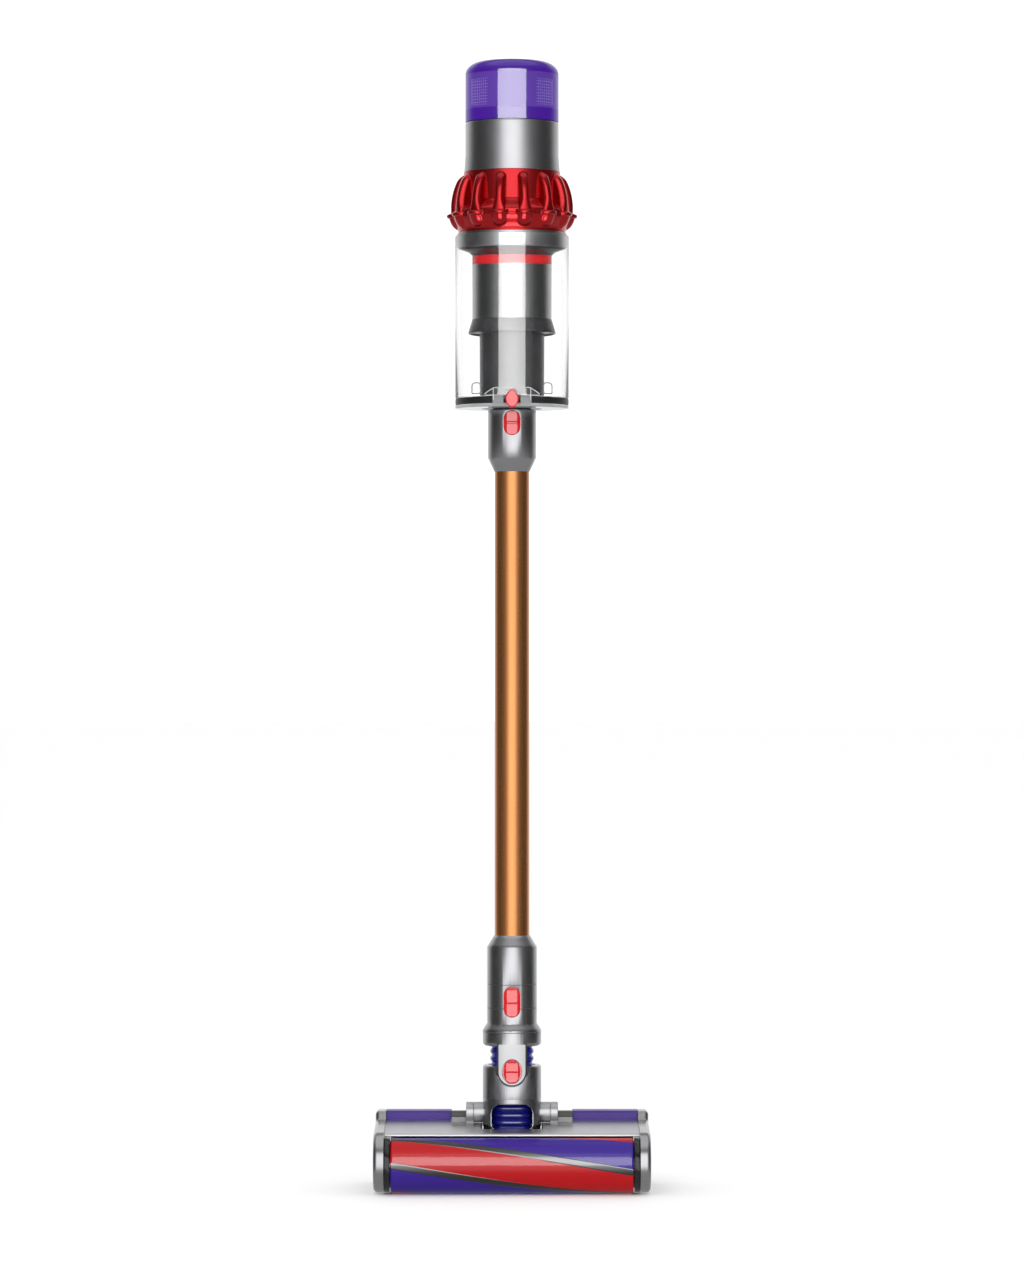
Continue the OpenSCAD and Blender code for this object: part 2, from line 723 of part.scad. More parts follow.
module door_latch() {
    color([0.85, 0.1, 0.12]) on_axis() {
        translate([0, 0, body_z + 8.5]) along_y(-bin_r - 3.6, -bin_r - 0.6) pill_shape(7.1, 19);
        slab([-6, -bin_r - 0.7, body_z + 4], [6, -bin_r + 1.4, wall_z - 0.4]);
    }
}

// ---------- Motor, filter and handle ----------

module motor_housing() {
    color([0.5, 0.5, 0.52]) on_axis() translate([0, 0, motor_z]) difference() {
        rotate_extrude() polygon([
            [motor_r - 4, 0], [motor_r + 1.3, 0], [motor_r + 1.3, 3], [motor_r, 8],
            [motor_r, motor_h], [30, motor_h], [30, motor_h - 2.5], [motor_r - 2.8, motor_h - 2.5],
            [motor_r - 2.8, 2.5], [motor_r - 4, 2.5]
        ]);
    }
}

module motor_stator() {
    color([0.6, 0.45, 0.3]) on_axis() translate([0, 0, motor_z]) difference() {
        union() {
            ring(34, 38, 2.6, 40);
            cylinder(r = 38, h = 3);
            ring(12, 30, 12, 16);
            for (a = [0 : 60 : 300]) rotate(a) slab([26, -2, 2], [36, 2, 30]);
            for (a = [30 : 60 : 330]) rotate(a) slab([2, -2, 30.4], [35, 2, 33]);
            translate([0, 0, 30.4]) cylinder(r = 8, h = 2.6);
        }
        translate([0, 0, -1]) cylinder(r = 2.5 + pin_gap, h = 60);
    }
}

module motor_rotor() {
    color([0.8, 0.8, 0.82]) on_axis() translate([0, 0, motor_z]) {
        translate([0, 0, 0.5]) cylinder(r = 2.5, h = 44);
        translate([0, 0, 11]) cylinder(r = 11, h = 18);
        translate([0, 0, 34]) cylinder(r1 = 28, r2 = 10, h = 8);
        for (a = [0 : 40 : 320]) rotate(a) translate([3, -0.8, 34]) cube([22, 1.6, 6]);
    }
}

module control_board() {
    color([0.1, 0.35, 0.15]) on_axis() ring(26, motor_r - 4, motor_z + 45.5, 1.6);
}

module grip() {
    color([0.45, 0.45, 0.47]) on_axis() difference() {
        union() {
            hull() {
                translate([0, motor_r + 3, grip_z + 4]) scale([1, 0.6, 1.35]) sphere(r = 17, $fn = 32);
                translate([0, motor_r + 24, grip_z + 4]) sphere(r = 14.5, $fn = 32);
            }
            hull() {
                translate([0, motor_r + 24, grip_z + 4]) sphere(r = 14.5, $fn = 32);
                translate([0, battery_front - 12, grip_z + 2]) scale([1, 0.7, 1]) sphere(r = 17, $fn = 32);
            }
            // Pad under the power slider
            slab([-17, motor_r - 6, grip_z + 18], [17, motor_r + 4, grip_z + 32]);
            // Foot on the battery
            slab([-19, battery_front - 14, grip_z - 17], [19, battery_front - 0.1, grip_z + 20]);
        }
        translate([0, 0, motor_z - 10]) cylinder(r = motor_r + eps, h = 90);
        translate([0, 0, motor_z - 10]) cylinder(r = motor_r + 1.4, h = 18.4);
        // Flat above the hand for the power slider
        slab([-20, motor_r + 4, grip_z + 18], [20, motor_r + 20, grip_z + 40]);
        // Slot and pin seats of the trigger
        slab([-7.5, trigger_pin[0] - 5, trigger_pin[1] - 20], [7.5, trigger_pin[0] + 27, grip_z - 3]);
        bar_x(2 + pin_gap, -9.5, 9.5, trigger_pin[0], trigger_pin[1]);
        // Track of the power slider
        slab([-11, motor_r + 1.6, grip_z + 22], [11, motor_r + 6, grip_z + 28]);
    }
}

module trigger() {
    color([0.85, 0.1, 0.12]) on_axis() {
        bar_x(2, -9, 9, trigger_pin[0], trigger_pin[1]);
        intersection() {
            slab([-7, trigger_pin[0] - 4, trigger_pin[1] - 20], [7, trigger_pin[0] + 24, trigger_pin[1] + 3]);
            difference() {
                bar_x(20, -7, 7, trigger_pin[0] + 11, trigger_pin[1] + 6);
                bar_x(26, -8, 8, trigger_pin[0] + 16, trigger_pin[1] - 32);
            }
        }
    }
}

module power_slider() {
    color([0.85, 0.1, 0.12]) on_axis() {
        slab([-4.5, motor_r + 4.3, grip_z + 20.5], [4.5, motor_r + 6.3, grip_z + 29.5]);
        slab([-3, motor_r + 2, grip_z + 22.4], [3, motor_r + 4.4, grip_z + 27.6]);
    }
}

// Runner behind the bin, the strut below the hand, and the web between the two rear cyclones
module spine() {
    color([0.4, 0.4, 0.42]) on_axis() difference() {
        union() {
            slab([-runner[0], runner[1], wall_z + 8], [runner[0], runner[2], pack_z - 1]);
            slab([-15, runner[1], battery_z + 4], [15, battery_front - 0.1, battery_z + 24]);
            slab([-3.2, 50, pack_z + 0.2], [3.2, 76, pack_z + 22]);
            slab([-15, cyclone_ring_r + 10.5, pack_z - 1.5], [15, cyclone_ring_r + 20, pack_z + 22]);
        }
        cylinder(r = pack_core_r, h = 2 * pack_z);
        // Screw holes into the strut
        for (s = [-1, 1]) bar_y_at(s * 9, 1.8, battery_front - 14, battery_front + 1, battery_z + 14);
    }
}

// The battery's block with round upright edges, drawn in by an inset
module battery_body(inset) {
    r = 7 - inset;
    half = battery_w / 2 - inset;
    front = battery_front + inset;
    back = battery_back - 2 - inset;
    translate([0, 0, battery_z + inset]) linear_extrude(height = battery_h - 2 * inset) union() {
        for (s = [-1, 1], y = [front + r, back - r]) translate([s * (half - r), y]) circle(r = r);
        translate([r - half, front]) square([2 * (half - r), back - front]);
        translate([-half, front + r]) square([2 * half, back - front - 2 * r]);
    }
}

module battery_case() {
    color([0.33, 0.33, 0.35]) on_axis() difference() {
        union() {
            battery_body(0);
            slab([-battery_w / 2 + 12, battery_back - 6, battery_z + 8],
                [battery_w / 2 - 12, battery_back, battery_z + battery_h - 12]);
        }
        battery_body(2.4);
        bar_y(6, battery_back - 12, battery_back + 1, jack_z);
        for (s = [-1, 1]) bar_y_at(s * 9, 1.8, battery_front - 1, battery_front + 3, battery_z + 14);
    }
}

// Six upright cells in two rows and one across the top
module battery_cells() {
    color([0.2, 0.45, 0.6]) on_axis() {
        for (x = [-1, 0, 1], y = [0, 1])
            translate([x * 19, battery_front + 11.8 + y * 18.4, battery_z + 26]) cylinder(r = 9.1, h = 65);
        bar_x(9.1, -32.5 + 2, 32.5 - 2, battery_front + 21.5, battery_z + 103);
    }
}

module charge_port() {
    color([0.05, 0.05, 0.05]) on_axis() difference() {
        bar_y(5.95, battery_back - 12, jack_y, jack_z);
        bar_y(socket_jack_r, battery_back - 10, battery_back + 1, jack_z);
    }
}

module battery_screws() {
    color([0.75, 0.75, 0.76]) on_axis() for (s = [-1, 1]) {
        bar_y_at(s * 9, 1.75, battery_front - 13, battery_front + 2.5, battery_z + 14);
        bar_y_at(s * 9, 3.4, battery_front + 2.45, battery_front + 4.6, battery_z + 14);
    }
}

module filter_ring() {
    color([0.2, 0.08, 0.45]) on_axis() ring(motor_r - 9, motor_r, filter_z, 12.6);
}

module filter_wall() {
    color([0.38, 0.25, 0.75, 0.7]) on_axis() ring(motor_r - 2.4, motor_r - 0.05, filter_z + 12.6, 37.4);
}

module filter_dome() {
    color([0.25, 0.1, 0.55]) on_axis() translate([0, 0, filter_z + 50]) difference() {
        rotate_extrude() polygon(concat(
            [[0, 0], [motor_r, 0]],
            arc(motor_r - 14, 0.5, 14, 0, 90),
            [[0, 14.5]]
        ));
        translate([0, 0, -1]) cylinder(r = motor_r - 15, h = 13);
    }
}

module filter_pleats() {
    pleats = 40;
    color([0.85, 0.85, 0.9]) on_axis() translate([0, 0, filter_z + 13]) linear_extrude(height = 36.6) difference() {
        polygon([for (i = [0 : 2 * pleats - 1]) let (a = i * 180 / pleats, r = i % 2 == 0 ? motor_r - 3 : motor_r - 8)
            [r * cos(a), r * sin(a)]]);
        circle(r = motor_r - 14);
    }
}

head_housing();
top_plate();
soleplate();
end_cap_left();
end_cap_right();
end_rings();
rear_strips();
hinge_blocks();
trunnion_pins();
coin_lock();
roller_motor();
wheel_axles();
roller_core();
roller_pile();
filament_strips();
roller_bearings();
wheel_left();
wheel_right();
yoke();
hose_lower();
neck_collar();
lean_pins();
hose_upper();
neck_button();
wand_tube();
lower_cuff();
upper_cuff();
wand_conduit();
button_springs();
lower_button();
upper_button();
inlet_tube();
inner_tube();
shroud_skirt();
shroud_mesh();
shroud_ring();
bin_collar();
cyclone_core();
cyclone_pack();
motor_housing();
motor_stator();
motor_rotor();
control_board();
grip();
spine();
trigger();
power_slider();
battery_case();
battery_cells();
charge_port();
battery_screws();
filter_ring();
filter_wall();
filter_dome();
filter_pleats();
bin_wall();
bin_lever();
bin_door();
door_seal();
door_latch();
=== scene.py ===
import math

import bmesh
import bpy
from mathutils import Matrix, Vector, noise


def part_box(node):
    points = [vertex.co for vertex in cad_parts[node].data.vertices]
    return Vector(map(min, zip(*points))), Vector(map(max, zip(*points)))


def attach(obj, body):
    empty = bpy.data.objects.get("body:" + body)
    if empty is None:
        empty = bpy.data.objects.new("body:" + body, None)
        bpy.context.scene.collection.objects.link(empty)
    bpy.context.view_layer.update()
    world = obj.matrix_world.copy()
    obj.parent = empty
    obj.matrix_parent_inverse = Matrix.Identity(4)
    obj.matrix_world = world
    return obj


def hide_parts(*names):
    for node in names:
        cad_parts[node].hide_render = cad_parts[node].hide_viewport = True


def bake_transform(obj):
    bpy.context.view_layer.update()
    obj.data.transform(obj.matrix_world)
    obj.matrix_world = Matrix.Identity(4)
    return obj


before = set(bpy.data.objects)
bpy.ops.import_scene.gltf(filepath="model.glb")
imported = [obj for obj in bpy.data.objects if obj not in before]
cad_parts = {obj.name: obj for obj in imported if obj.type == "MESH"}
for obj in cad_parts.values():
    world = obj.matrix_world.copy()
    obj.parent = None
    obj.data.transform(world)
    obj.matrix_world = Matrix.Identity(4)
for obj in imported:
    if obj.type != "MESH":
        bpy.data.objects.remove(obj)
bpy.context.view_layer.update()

# Sizes are in millimetres, measured from the wand's axis and the floor.
# at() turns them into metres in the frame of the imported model.
MM = 0.001
tube_low, tube_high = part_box("wand_tube")
AXIS_Y = (tube_low.y + tube_high.y) / 2
TURN = 2 * math.pi
SIDES = ((-1, "left"), (1, "right"))


def at(x, y, z):
    return Vector((x * MM, y * MM + AXIS_Y, z * MM))


def low(node):
    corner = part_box(node)[0]
    return Vector((corner.x, corner.y - AXIS_Y, corner.z)) / MM


def high(node):
    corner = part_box(node)[1]
    return Vector((corner.x, corner.y - AXIS_Y, corner.z)) / MM


def smooth(t):
    t = min(1.0, max(0.0, t))
    return t * t * (3 - 2 * t)


def full_turn(steps):
    """Angles of a full turn in equal steps."""
    return [TURN * k / steps for k in range(steps)]


def quarter_turn(steps):
    """Angles from nothing to a right angle, both ends included."""
    return [TURN / 4 * k / steps for k in range(steps + 1)]


def feed(tree, sockets, values):
    """Gives each socket its value, which is a number or another socket to link from."""
    for socket, value in zip(sockets, values):
        if isinstance(value, (int, float)):
            socket.default_value = value
        else:
            tree.links.new(value, socket)


def add_math(tree, kind, *values):
    """Adds a Math node to a node tree."""
    node = tree.nodes.new("ShaderNodeMath")
    node.operation = kind
    feed(tree, node.inputs, values)
    return node.outputs[0]


def add_range(tree, kind, *values):
    """Adds a Map Range node: the value, its start and end, and the start and end of the result."""
    node = tree.nodes.new("ShaderNodeMapRange")
    node.interpolation_type = kind
    feed(tree, node.inputs, values)
    return node.outputs[0]


def add_ramp(tree, factor, stops, interpolation="LINEAR"):
    """Adds a colour ramp with a stop for each pair of place and colour."""
    node = tree.nodes.new("ShaderNodeValToRGB")
    node.color_ramp.interpolation = interpolation
    elements = node.color_ramp.elements
    while len(elements) < len(stops):
        elements.new(0.5)
    for element, (place, colour) in zip(elements, stops):
        element.position = place
        element.color = (*colour, 1)
    tree.links.new(factor, node.inputs[0])
    return node.outputs[0]


# ---------- Studio: camera, floor, light ----------

CAMERA_DISTANCE = 5.3
CAMERA_Z = 0.579


def make_camera():
    """A level camera in front of the object, near the middle of its height."""
    data = bpy.data.cameras.new("camera")
    data.sensor_width = 36
    data.lens = 140.6
    camera = bpy.data.objects.new("camera", data)
    bpy.context.scene.collection.objects.link(camera)
    camera.location = (0.0, AXIS_Y - CAMERA_DISTANCE, CAMERA_Z)
    camera.rotation_euler = (math.radians(90), 0, 0)
    bpy.context.scene.camera = camera


def make_floor():
    mesh = bpy.data.meshes.new("floor")
    reach = 30.0
    corners = [(-reach, -reach, 0), (reach, -reach, 0), (reach, reach, 0), (-reach, reach, 0)]
    mesh.from_pydata(corners, [], [(0, 1, 2, 3)])
    floor = bpy.data.objects.new("floor", mesh)
    bpy.context.scene.collection.objects.link(floor)
    look = bpy.data.materials.new("floor_paint")
    look.use_nodes = True
    shader = look.node_tree.nodes["Principled BSDF"]
    shader.inputs["Base Color"].default_value = (0.97, 0.97, 0.97, 1)
    shader.inputs["Roughness"].default_value = 0.75
    shader.inputs["Specular IOR Level"].default_value = 0.15
    mesh.materials.append(look)
    # Mirror-like parts see the studio's sides instead of the floor, also through the clear bin
    floor.visible_glossy = False
    floor.visible_transmission = False


def make_world():
    """A white studio, with a front softbox, dark flags at both sides and a backdrop in reflections."""
    world = bpy.data.worlds.new("studio")
    bpy.context.scene.world = world
    world.use_nodes = True
    world.cycles.sampling_method = "NONE"
    tree = world.node_tree
    nodes, links = tree.nodes, tree.links
    nodes.clear()

    coords = nodes.new("ShaderNodeTexCoord")
    split = nodes.new("ShaderNodeSeparateXYZ")
    links.new(coords.outputs["Generated"], split.inputs[0])
    sideways = add_math(tree, "ABSOLUTE", split.outputs[0])
    front = add_math(tree, "MULTIPLY", split.outputs[1], -1.0)
    turn = add_math(tree, "DIVIDE", add_math(tree, "ARCTAN2", sideways, front), math.pi)

    # Share of the half turn from the front, and share of the full brightness
    full = 2.1
    stops = [
        (0.0, 1.0), (0.06, 0.97), (0.12, 0.74), (0.18, 0.3), (0.26, 0.1), (0.38, 0.03),
        (0.5, 0.012), (0.6, 0.03), (0.66, 0.12), (0.74, 0.32), (0.84, 0.42), (1.0, 0.47),
    ]
    shares = add_ramp(tree, turn, [(place, (value, value, value)) for place, value in stops])
    around = add_math(tree, "MULTIPLY", shares, full)

    def blend(factor, a, b):
        node = nodes.new("ShaderNodeMix")
        node.data_type = "FLOAT"
        feed(tree, [node.inputs[socket] for socket in ("Factor", "A", "B")], (factor, a, b))
        return node.outputs[0]

    def step(start, end):
        return add_range(tree, "SMOOTHSTEP", split.outputs[2], start, end)

    # The front softbox ends below the ceiling, which is light again, and the floor in front is dim
    level = blend(step(0.5, 0.66), around, 0.22)
    level = blend(step(0.74, 0.9), level, 0.9)
    level = blend(step(-0.12, -0.4), level, 0.4)

    # Seen straight or through clear parts it is plain white, and soft light is even
    path = nodes.new("ShaderNodeLightPath")
    in_gloss = add_math(tree, "GREATER_THAN", path.outputs["Glossy Depth"], 0.5)
    in_soft_light = add_math(tree, "GREATER_THAN", path.outputs["Diffuse Depth"], 0.5)
    plain_white, soft_white = 1.3, 1.06
    seen = blend(in_soft_light, blend(in_gloss, plain_white, level), soft_white)
    back = nodes.new("ShaderNodeBackground")
    back.inputs["Color"].default_value = (1, 1, 1, 1)
    links.new(seen, back.inputs["Strength"])
    out = nodes.new("ShaderNodeOutputWorld")
    links.new(back.outputs[0], out.inputs["Surface"])


def area_light(name, place, aim, width, height, power, receivers=None):
    data = bpy.data.lights.new(name, "AREA")
    data.shape = "RECTANGLE"
    data.size = width
    data.size_y = height
    data.energy = power
    light = bpy.data.objects.new(name, data)
    bpy.context.scene.collection.objects.link(light)
    light.location = place
    light.rotation_euler = (Vector(aim) - Vector(place)).to_track_quat("-Z", "Y").to_euler()
    light.visible_camera = False
    if receivers is not None:
        light.light_linking.receiver_collection = receivers
    return light


def lit_group(name):
    """A collection of parts that a light of their own shines on."""
    group = bpy.data.collections.new(name)
    bpy.context.scene.collection.children.link(group)
    return group


def front_softbox(name, y, low_z, high_z, width, power, parts):
    """A softbox straight ahead that only its own parts see, as a sharp band of gloss."""
    middle_z = (low_z + high_z) / 2
    light = area_light(name, (0, y, middle_z), (0, 0, middle_z), width, high_z - low_z, power, parts)
    light.visible_diffuse = False
    light.visible_transmission = False


bpy.context.scene.view_settings.view_transform = "Standard"
make_camera()
make_floor()
make_world()
top_light = area_light("softbox_top", (-0.8, -2.2, 2.6), (0, 0, 0.4), 1.6, 1.2, 10)
top_light.visible_glossy = False

gloss_parts = lit_group("softbox_clear_parts")
filter_parts = lit_group("softbox_filter_parts")
button_parts = lit_group("softbox_buttons_parts")
roller_parts = lit_group("roller_parts")
cyclone_parts = lit_group("cyclone_parts")
front_softbox("softbox_clear", -2.1, -0.2, 2.1, 2.1, 220, gloss_parts)
front_softbox("softbox_filter", -2.1, -0.2, 2.1, 2.9, 250, filter_parts)
front_softbox("softbox_buttons", -2.1, -0.2, 2.1, 2.0, 40, button_parts)
# The roller's sheen is brighter in its lower half
front_softbox("softbox_roller_low", -1.1, 0.14, 0.92, 0.8, 27, roller_parts)
front_softbox("softbox_roller_tall", -1.1, 0.14, 1.6, 0.8, 8, roller_parts)
# A low softbox picks out the cups of the cyclones
cup_light = area_light("softbox_low", (0, -1.3, 0.12), (0, 0, 1.03), 0.9, 0.5, 6, cyclone_parts)
cup_light.visible_diffuse = False


# ---------- Materials ----------

LOOKS = {}


class Look:
    """A Principled material with a few helpers for procedural detail in object coordinates."""

    def __init__(self, slot, base, roughness, **sockets):
        self.material = bpy.data.materials.new(slot + "_look")
        self.material.use_nodes = True
        self.tree = self.material.node_tree
        self.nodes = self.tree.nodes
        self.links = self.tree.links
        self.shader = self.nodes["Principled BSDF"]
        self.set("Base Color", (*base, 1))
        self.set("Roughness", roughness)
        for name, value in sockets.items():
            self.set(name.replace("_", " "), value)
        self.base = base
        self.roughness = roughness
        self.coords = self.nodes.new("ShaderNodeTexCoord")
        LOOKS[slot] = self.material

    def set(self, socket, value):
        self.shader.inputs[socket].default_value = value

    def noise(self, scale, stretch=(1, 1, 1), detail=3.0):
        mapping = self.nodes.new("ShaderNodeMapping")
        mapping.inputs["Scale"].default_value = stretch
        self.links.new(self.coords.outputs["Object"], mapping.inputs[0])
        texture = self.nodes.new("ShaderNodeTexNoise")
        texture.inputs["Scale"].default_value = scale
        texture.inputs["Detail"].default_value = detail
        self.links.new(mapping.outputs[0], texture.inputs["Vector"])
        return texture.outputs["Fac"]

    def math(self, kind, *values):
        return add_math(self.tree, kind, *values)

    def ramp(self, factor, stops, interpolation="LINEAR"):
        return add_ramp(self.tree, factor, stops, interpolation)

    def axes(self):
        """The three sockets of the object coordinates."""
        split = self.nodes.new("ShaderNodeSeparateXYZ")
        self.links.new(self.coords.outputs["Object"], split.inputs[0])
        return split.outputs

    def vary_colour(self, scale, amount, stretch=(1, 1, 1)):
        """Broad, faint patches of a lighter and a darker tone."""
        dark = tuple(c * (1 - amount) for c in self.base)
        light = tuple(min(1.0, c * (1 + amount)) for c in self.base)
        colour = self.ramp(self.noise(scale, stretch), [(0.3, dark), (0.7, light)])
        self.links.new(colour, self.shader.inputs["Base Color"])
        return self

    def vary_roughness(self, scale, amount, stretch=(1, 1, 1)):
        smoother, rougher = self.roughness - amount, self.roughness + amount
        spread = add_range(self.tree, "LINEAR", self.noise(scale, stretch), 0.3, 0.7, smoother, rougher)
        self.links.new(spread, self.shader.inputs["Roughness"])
        return self

    def bump(self, height, depth, strength=1.0):
        node = self.nodes.new("ShaderNodeBump")
        node.inputs["Strength"].default_value = strength
        node.inputs["Distance"].default_value = depth * MM
        self.links.new(height, node.inputs["Height"])
        self.links.new(node.outputs[0], self.shader.inputs["Normal"])
        return self

    def grain(self, scale, depth, stretch=(1, 1, 1)):
        return self.bump(self.noise(scale, stretch), depth)


def satin(slot, base, roughness, metallic, grain=2200, depth=0.012, **sockets):
    """Moulded or painted surface: faint tone patches, uneven gloss and a fine grain."""
    look = Look(slot, base, roughness, Metallic=metallic, **sockets)
    return look.vary_colour(14, 0.05).vary_roughness(60, 0.03).grain(grain, depth)


satin("nickel", (0.43, 0.43, 0.445), 0.24, 0.96, Coat_Weight=0.2, Coat_Roughness=0.15)
satin("end_cap", (0.40, 0.40, 0.41), 0.25, 0.95, Coat_Weight=0.3, Coat_Roughness=0.1)
satin("silver", (0.60, 0.60, 0.61), 0.34, 1.0)
satin("barrel", (0.52, 0.52, 0.53), 0.36, 0.9)
satin("bar", (0.07, 0.068, 0.065), 0.4, 0.3)
# Painted shade: darker grey for the plate's faces beside the hinges
satin("shade", (0.25, 0.25, 0.255), 0.42, 0.9)
satin("steel", (0.62, 0.62, 0.63), 0.22, 1.0)
# Painted shade: gloss black for the collar's underside
satin("black_gloss", (0.012, 0.012, 0.014), 0.08, 0.0, depth=0.004)
satin("dark_plastic", (0.045, 0.045, 0.05), 0.42, 0.0, grain=1500, depth=0.03)
satin("core_grey", (0.085, 0.085, 0.09), 0.24, 0.7)
satin("wheel", (0.03, 0.03, 0.033), 0.5, 0.0, grain=900, depth=0.05)
satin("purple", (0.055, 0.018, 0.24), 0.34, 0.1)
satin("hose", (0.006, 0.008, 0.2), 0.12, 0.0, Coat_Weight=0.6, Coat_Roughness=0.05)
satin("red_button", (0.70, 0.008, 0.014), 0.16, 0.0, depth=0.006, Coat_Weight=0.5, Coat_Roughness=0.05)
satin("cyclone_red", (0.50, 0.006, 0.010), 0.2, 0.85, Coat_Weight=0.4, Coat_Roughness=0.08)
satin("seal", (0.015, 0.015, 0.016), 0.4, 0.0, grain=1200, depth=0.02)
satin("cell", (0.05, 0.24, 0.4), 0.35, 0.0)
satin("winding", (0.55, 0.24, 0.09), 0.3, 0.9)
satin("board", (0.02, 0.14, 0.06), 0.35, 0.0)
satin("media", (0.78, 0.77, 0.85), 0.9, 0.0, grain=700, depth=0.15)
satin("filament", (0.006, 0.006, 0.007), 0.4, 0.0, Coat_Weight=0.4, Coat_Roughness=0.1)
satin("edge_grey", (0.22, 0.22, 0.23), 0.3, 0.0, depth=0.004)
satin("ring_red", (0.55, 0.006, 0.010), 0.25, 0.0, depth=0.006)
satin("filter_dark", (0.055, 0.010, 0.27), 0.06, 0.0, depth=0.003)
satin("lattice", (0.42, 0.32, 0.78), 0.3, 0.0)
# Painted highlight: white for the lines on the clear hood's edges
satin("edge_white", (0.9, 0.9, 0.91), 0.15, 0.0, depth=0.004)


def copper():
    """Anodised tube: fine lines along its length."""
    look = Look("copper", (0.66, 0.26, 0.085), 0.25, Metallic=0.9, Coat_Weight=0.35, Coat_Roughness=0.16)
    along = (1, 1, 0.02)
    look.vary_colour(300, 0.06, along).vary_roughness(900, 0.05, along).grain(1600, 0.006, along)


def clear():
    look = Look("clear", (1.0, 1.0, 1.0), 0.015, IOR=1.4, Transmission_Weight=1.0)
    look.vary_roughness(25, 0.01).grain(40, 0.004)


def clear_edge():
    """The thick lip of the clear door, seen nearly edge on."""
    look = Look("clear_edge", (0.62, 0.64, 0.65), 0.12, IOR=1.4, Transmission_Weight=0.55)
    look.vary_colour(30, 0.05).grain(60, 0.01)


def filter_wall():
    """Tinted see-through wall over the pleats."""
    look = Look("filter_clear", (0.165, 0.072, 0.50), 0.04, IOR=1.45, Transmission_Weight=0.45)
    look.vary_colour(20, 0.05).grain(900, 0.01)


def shroud_mesh():
    """Thin steel sheet etched with rows of very small holes, with painted shade that darkens its colour in
    the holes.
    """
    look = Look("shroud", (0.50, 0.505, 0.51), 0.2, Metallic=1.0)
    x, y, z = look.axes()
    columns_round, row_pitch = 240.0, 1.1 * MM
    turn = look.math("ARCTAN2", x, look.math("SUBTRACT", y, AXIS_Y))
    columns = look.math("SINE", look.math("MULTIPLY", turn, columns_round))
    rows = look.math("SINE", look.math("MULTIPLY", z, TURN / row_pitch))
    holes = look.math("MULTIPLY", columns, rows)
    look.bump(holes, 0.05, 0.2)
    # Painted shade: the base colour is darker where the bump dips into the holes.
    dark, light = (0.40, 0.405, 0.41), (0.58, 0.585, 0.59)
    tone = look.ramp(look.math("MULTIPLY_ADD", holes, 0.5, 0.5), [(0.0, dark), (1.0, light)])
    look.links.new(tone, look.shader.inputs["Base Color"])


# Places of the roller's colours: the upper dark strip's angle above the front at the middle of the roller,
# the angle of one colour field, and the twist in each millimetre along the roller
ROLLER_Y = (low("roller_core").y + high("roller_core").y) / 2
ROLLER_Z = (low("roller_core").z + high("roller_core").z) / 2
STRIP_ANGLE = math.radians(34.5)
FIELD = TURN / 5
TWIST = math.radians(-0.343)


def pile():
    """Soft woven nylon: red and purple fields that run round the roller in a helix, with a short nap."""
    look = Look("pile", (0.55, 0.008, 0.02), 0.5, Sheen_Weight=0.04, Sheen_Roughness=0.25,
                Specular_IOR_Level=0.1, Coat_Weight=0.4, Coat_Roughness=0.07, Coat_IOR=1.4)
    x, y, z = look.axes()
    up = look.math("SUBTRACT", z, ROLLER_Z * MM)
    front = look.math("SUBTRACT", ROLLER_Y * MM + AXIS_Y, y)
    turn = look.math("ARCTAN2", up, front)
    twisted = look.math("MULTIPLY_ADD", x, -TWIST / MM, turn)
    below = look.math("SUBTRACT", STRIP_ANGLE + TURN, twisted)
    share = look.math("FRACT", look.math("DIVIDE", below, TURN))
    red, purple = (0.50, 0.002, 0.006), (0.040, 0.012, 0.27)
    stops = [(0.0, red), (FIELD / TURN, purple), (2 * FIELD / TURN, red), (4 * FIELD / TURN, purple)]
    fields = look.ramp(share, stops, "CONSTANT")
    nap = look.noise(2600, (0.35, 1, 1), 2.0)
    shade = look.nodes.new("ShaderNodeMix")
    shade.data_type = "RGBA"
    shade.blend_type = "MULTIPLY"
    shade.inputs["Factor"].default_value = 0.35
    look.links.new(fields, shade.inputs["A"])
    look.links.new(look.ramp(nap, [(0.3, (0.62, 0.62, 0.62)), (0.7, (1, 1, 1))]), shade.inputs["B"])
    look.links.new(shade.outputs["Result"], look.shader.inputs["Base Color"])
    look.bump(nap, 0.05, 0.6)


for make_look in (copper, clear, clear_edge, filter_wall, shroud_mesh, pile):
    make_look()

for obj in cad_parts.values():
    slot = obj.material_slots[0]
    slot.material = LOOKS[slot.material.name.split(".")[0]]
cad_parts["bin_door"].material_slots[0].material = LOOKS["clear_edge"]
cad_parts["shroud_ring"].material_slots[0].material = LOOKS["ring_red"]


def soften(node, width, angle=32):
    """Rounds the sharp edges of a CAD node."""
    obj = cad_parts[node]
    weld = obj.modifiers.new("weld", "WELD")
    weld.merge_threshold = 0.002 * MM
    bevel = obj.modifiers.new("round", "BEVEL")
    bevel.width = width * MM
    bevel.segments = 3
    bevel.limit_method = "ANGLE"
    bevel.angle_limit = math.radians(angle)
    bevel.harden_normals = True


# ---------- Mesh helpers ----------

def piece(name, verts, faces, look, body=None, replaces=(), sharp=38, group=None, slot=None):
    """Makes a piece from points in millimetres and lets it ride on its body.

    The slot argument is not used.
    """
    mesh = bpy.data.meshes.new(name)
    mesh.from_pydata([at(*v) for v in verts], [], faces)
    work = bmesh.new()
    work.from_mesh(mesh)
    bmesh.ops.remove_doubles(work, verts=work.verts, dist=0.001 * MM)
    bmesh.ops.recalc_face_normals(work, faces=work.faces)
    work.to_mesh(mesh)
    work.free()
    mesh.shade_smooth()
    mesh.set_sharp_from_angle(angle=math.radians(sharp))
    mesh.materials.append(LOOKS[look])
    obj = bpy.data.objects.new(name, mesh)
    bpy.context.scene.collection.objects.link(obj)
    if group:
        group.objects.link(obj)
    if body:
        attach(obj, body)
    if replaces:
        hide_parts(*replaces)
    return obj


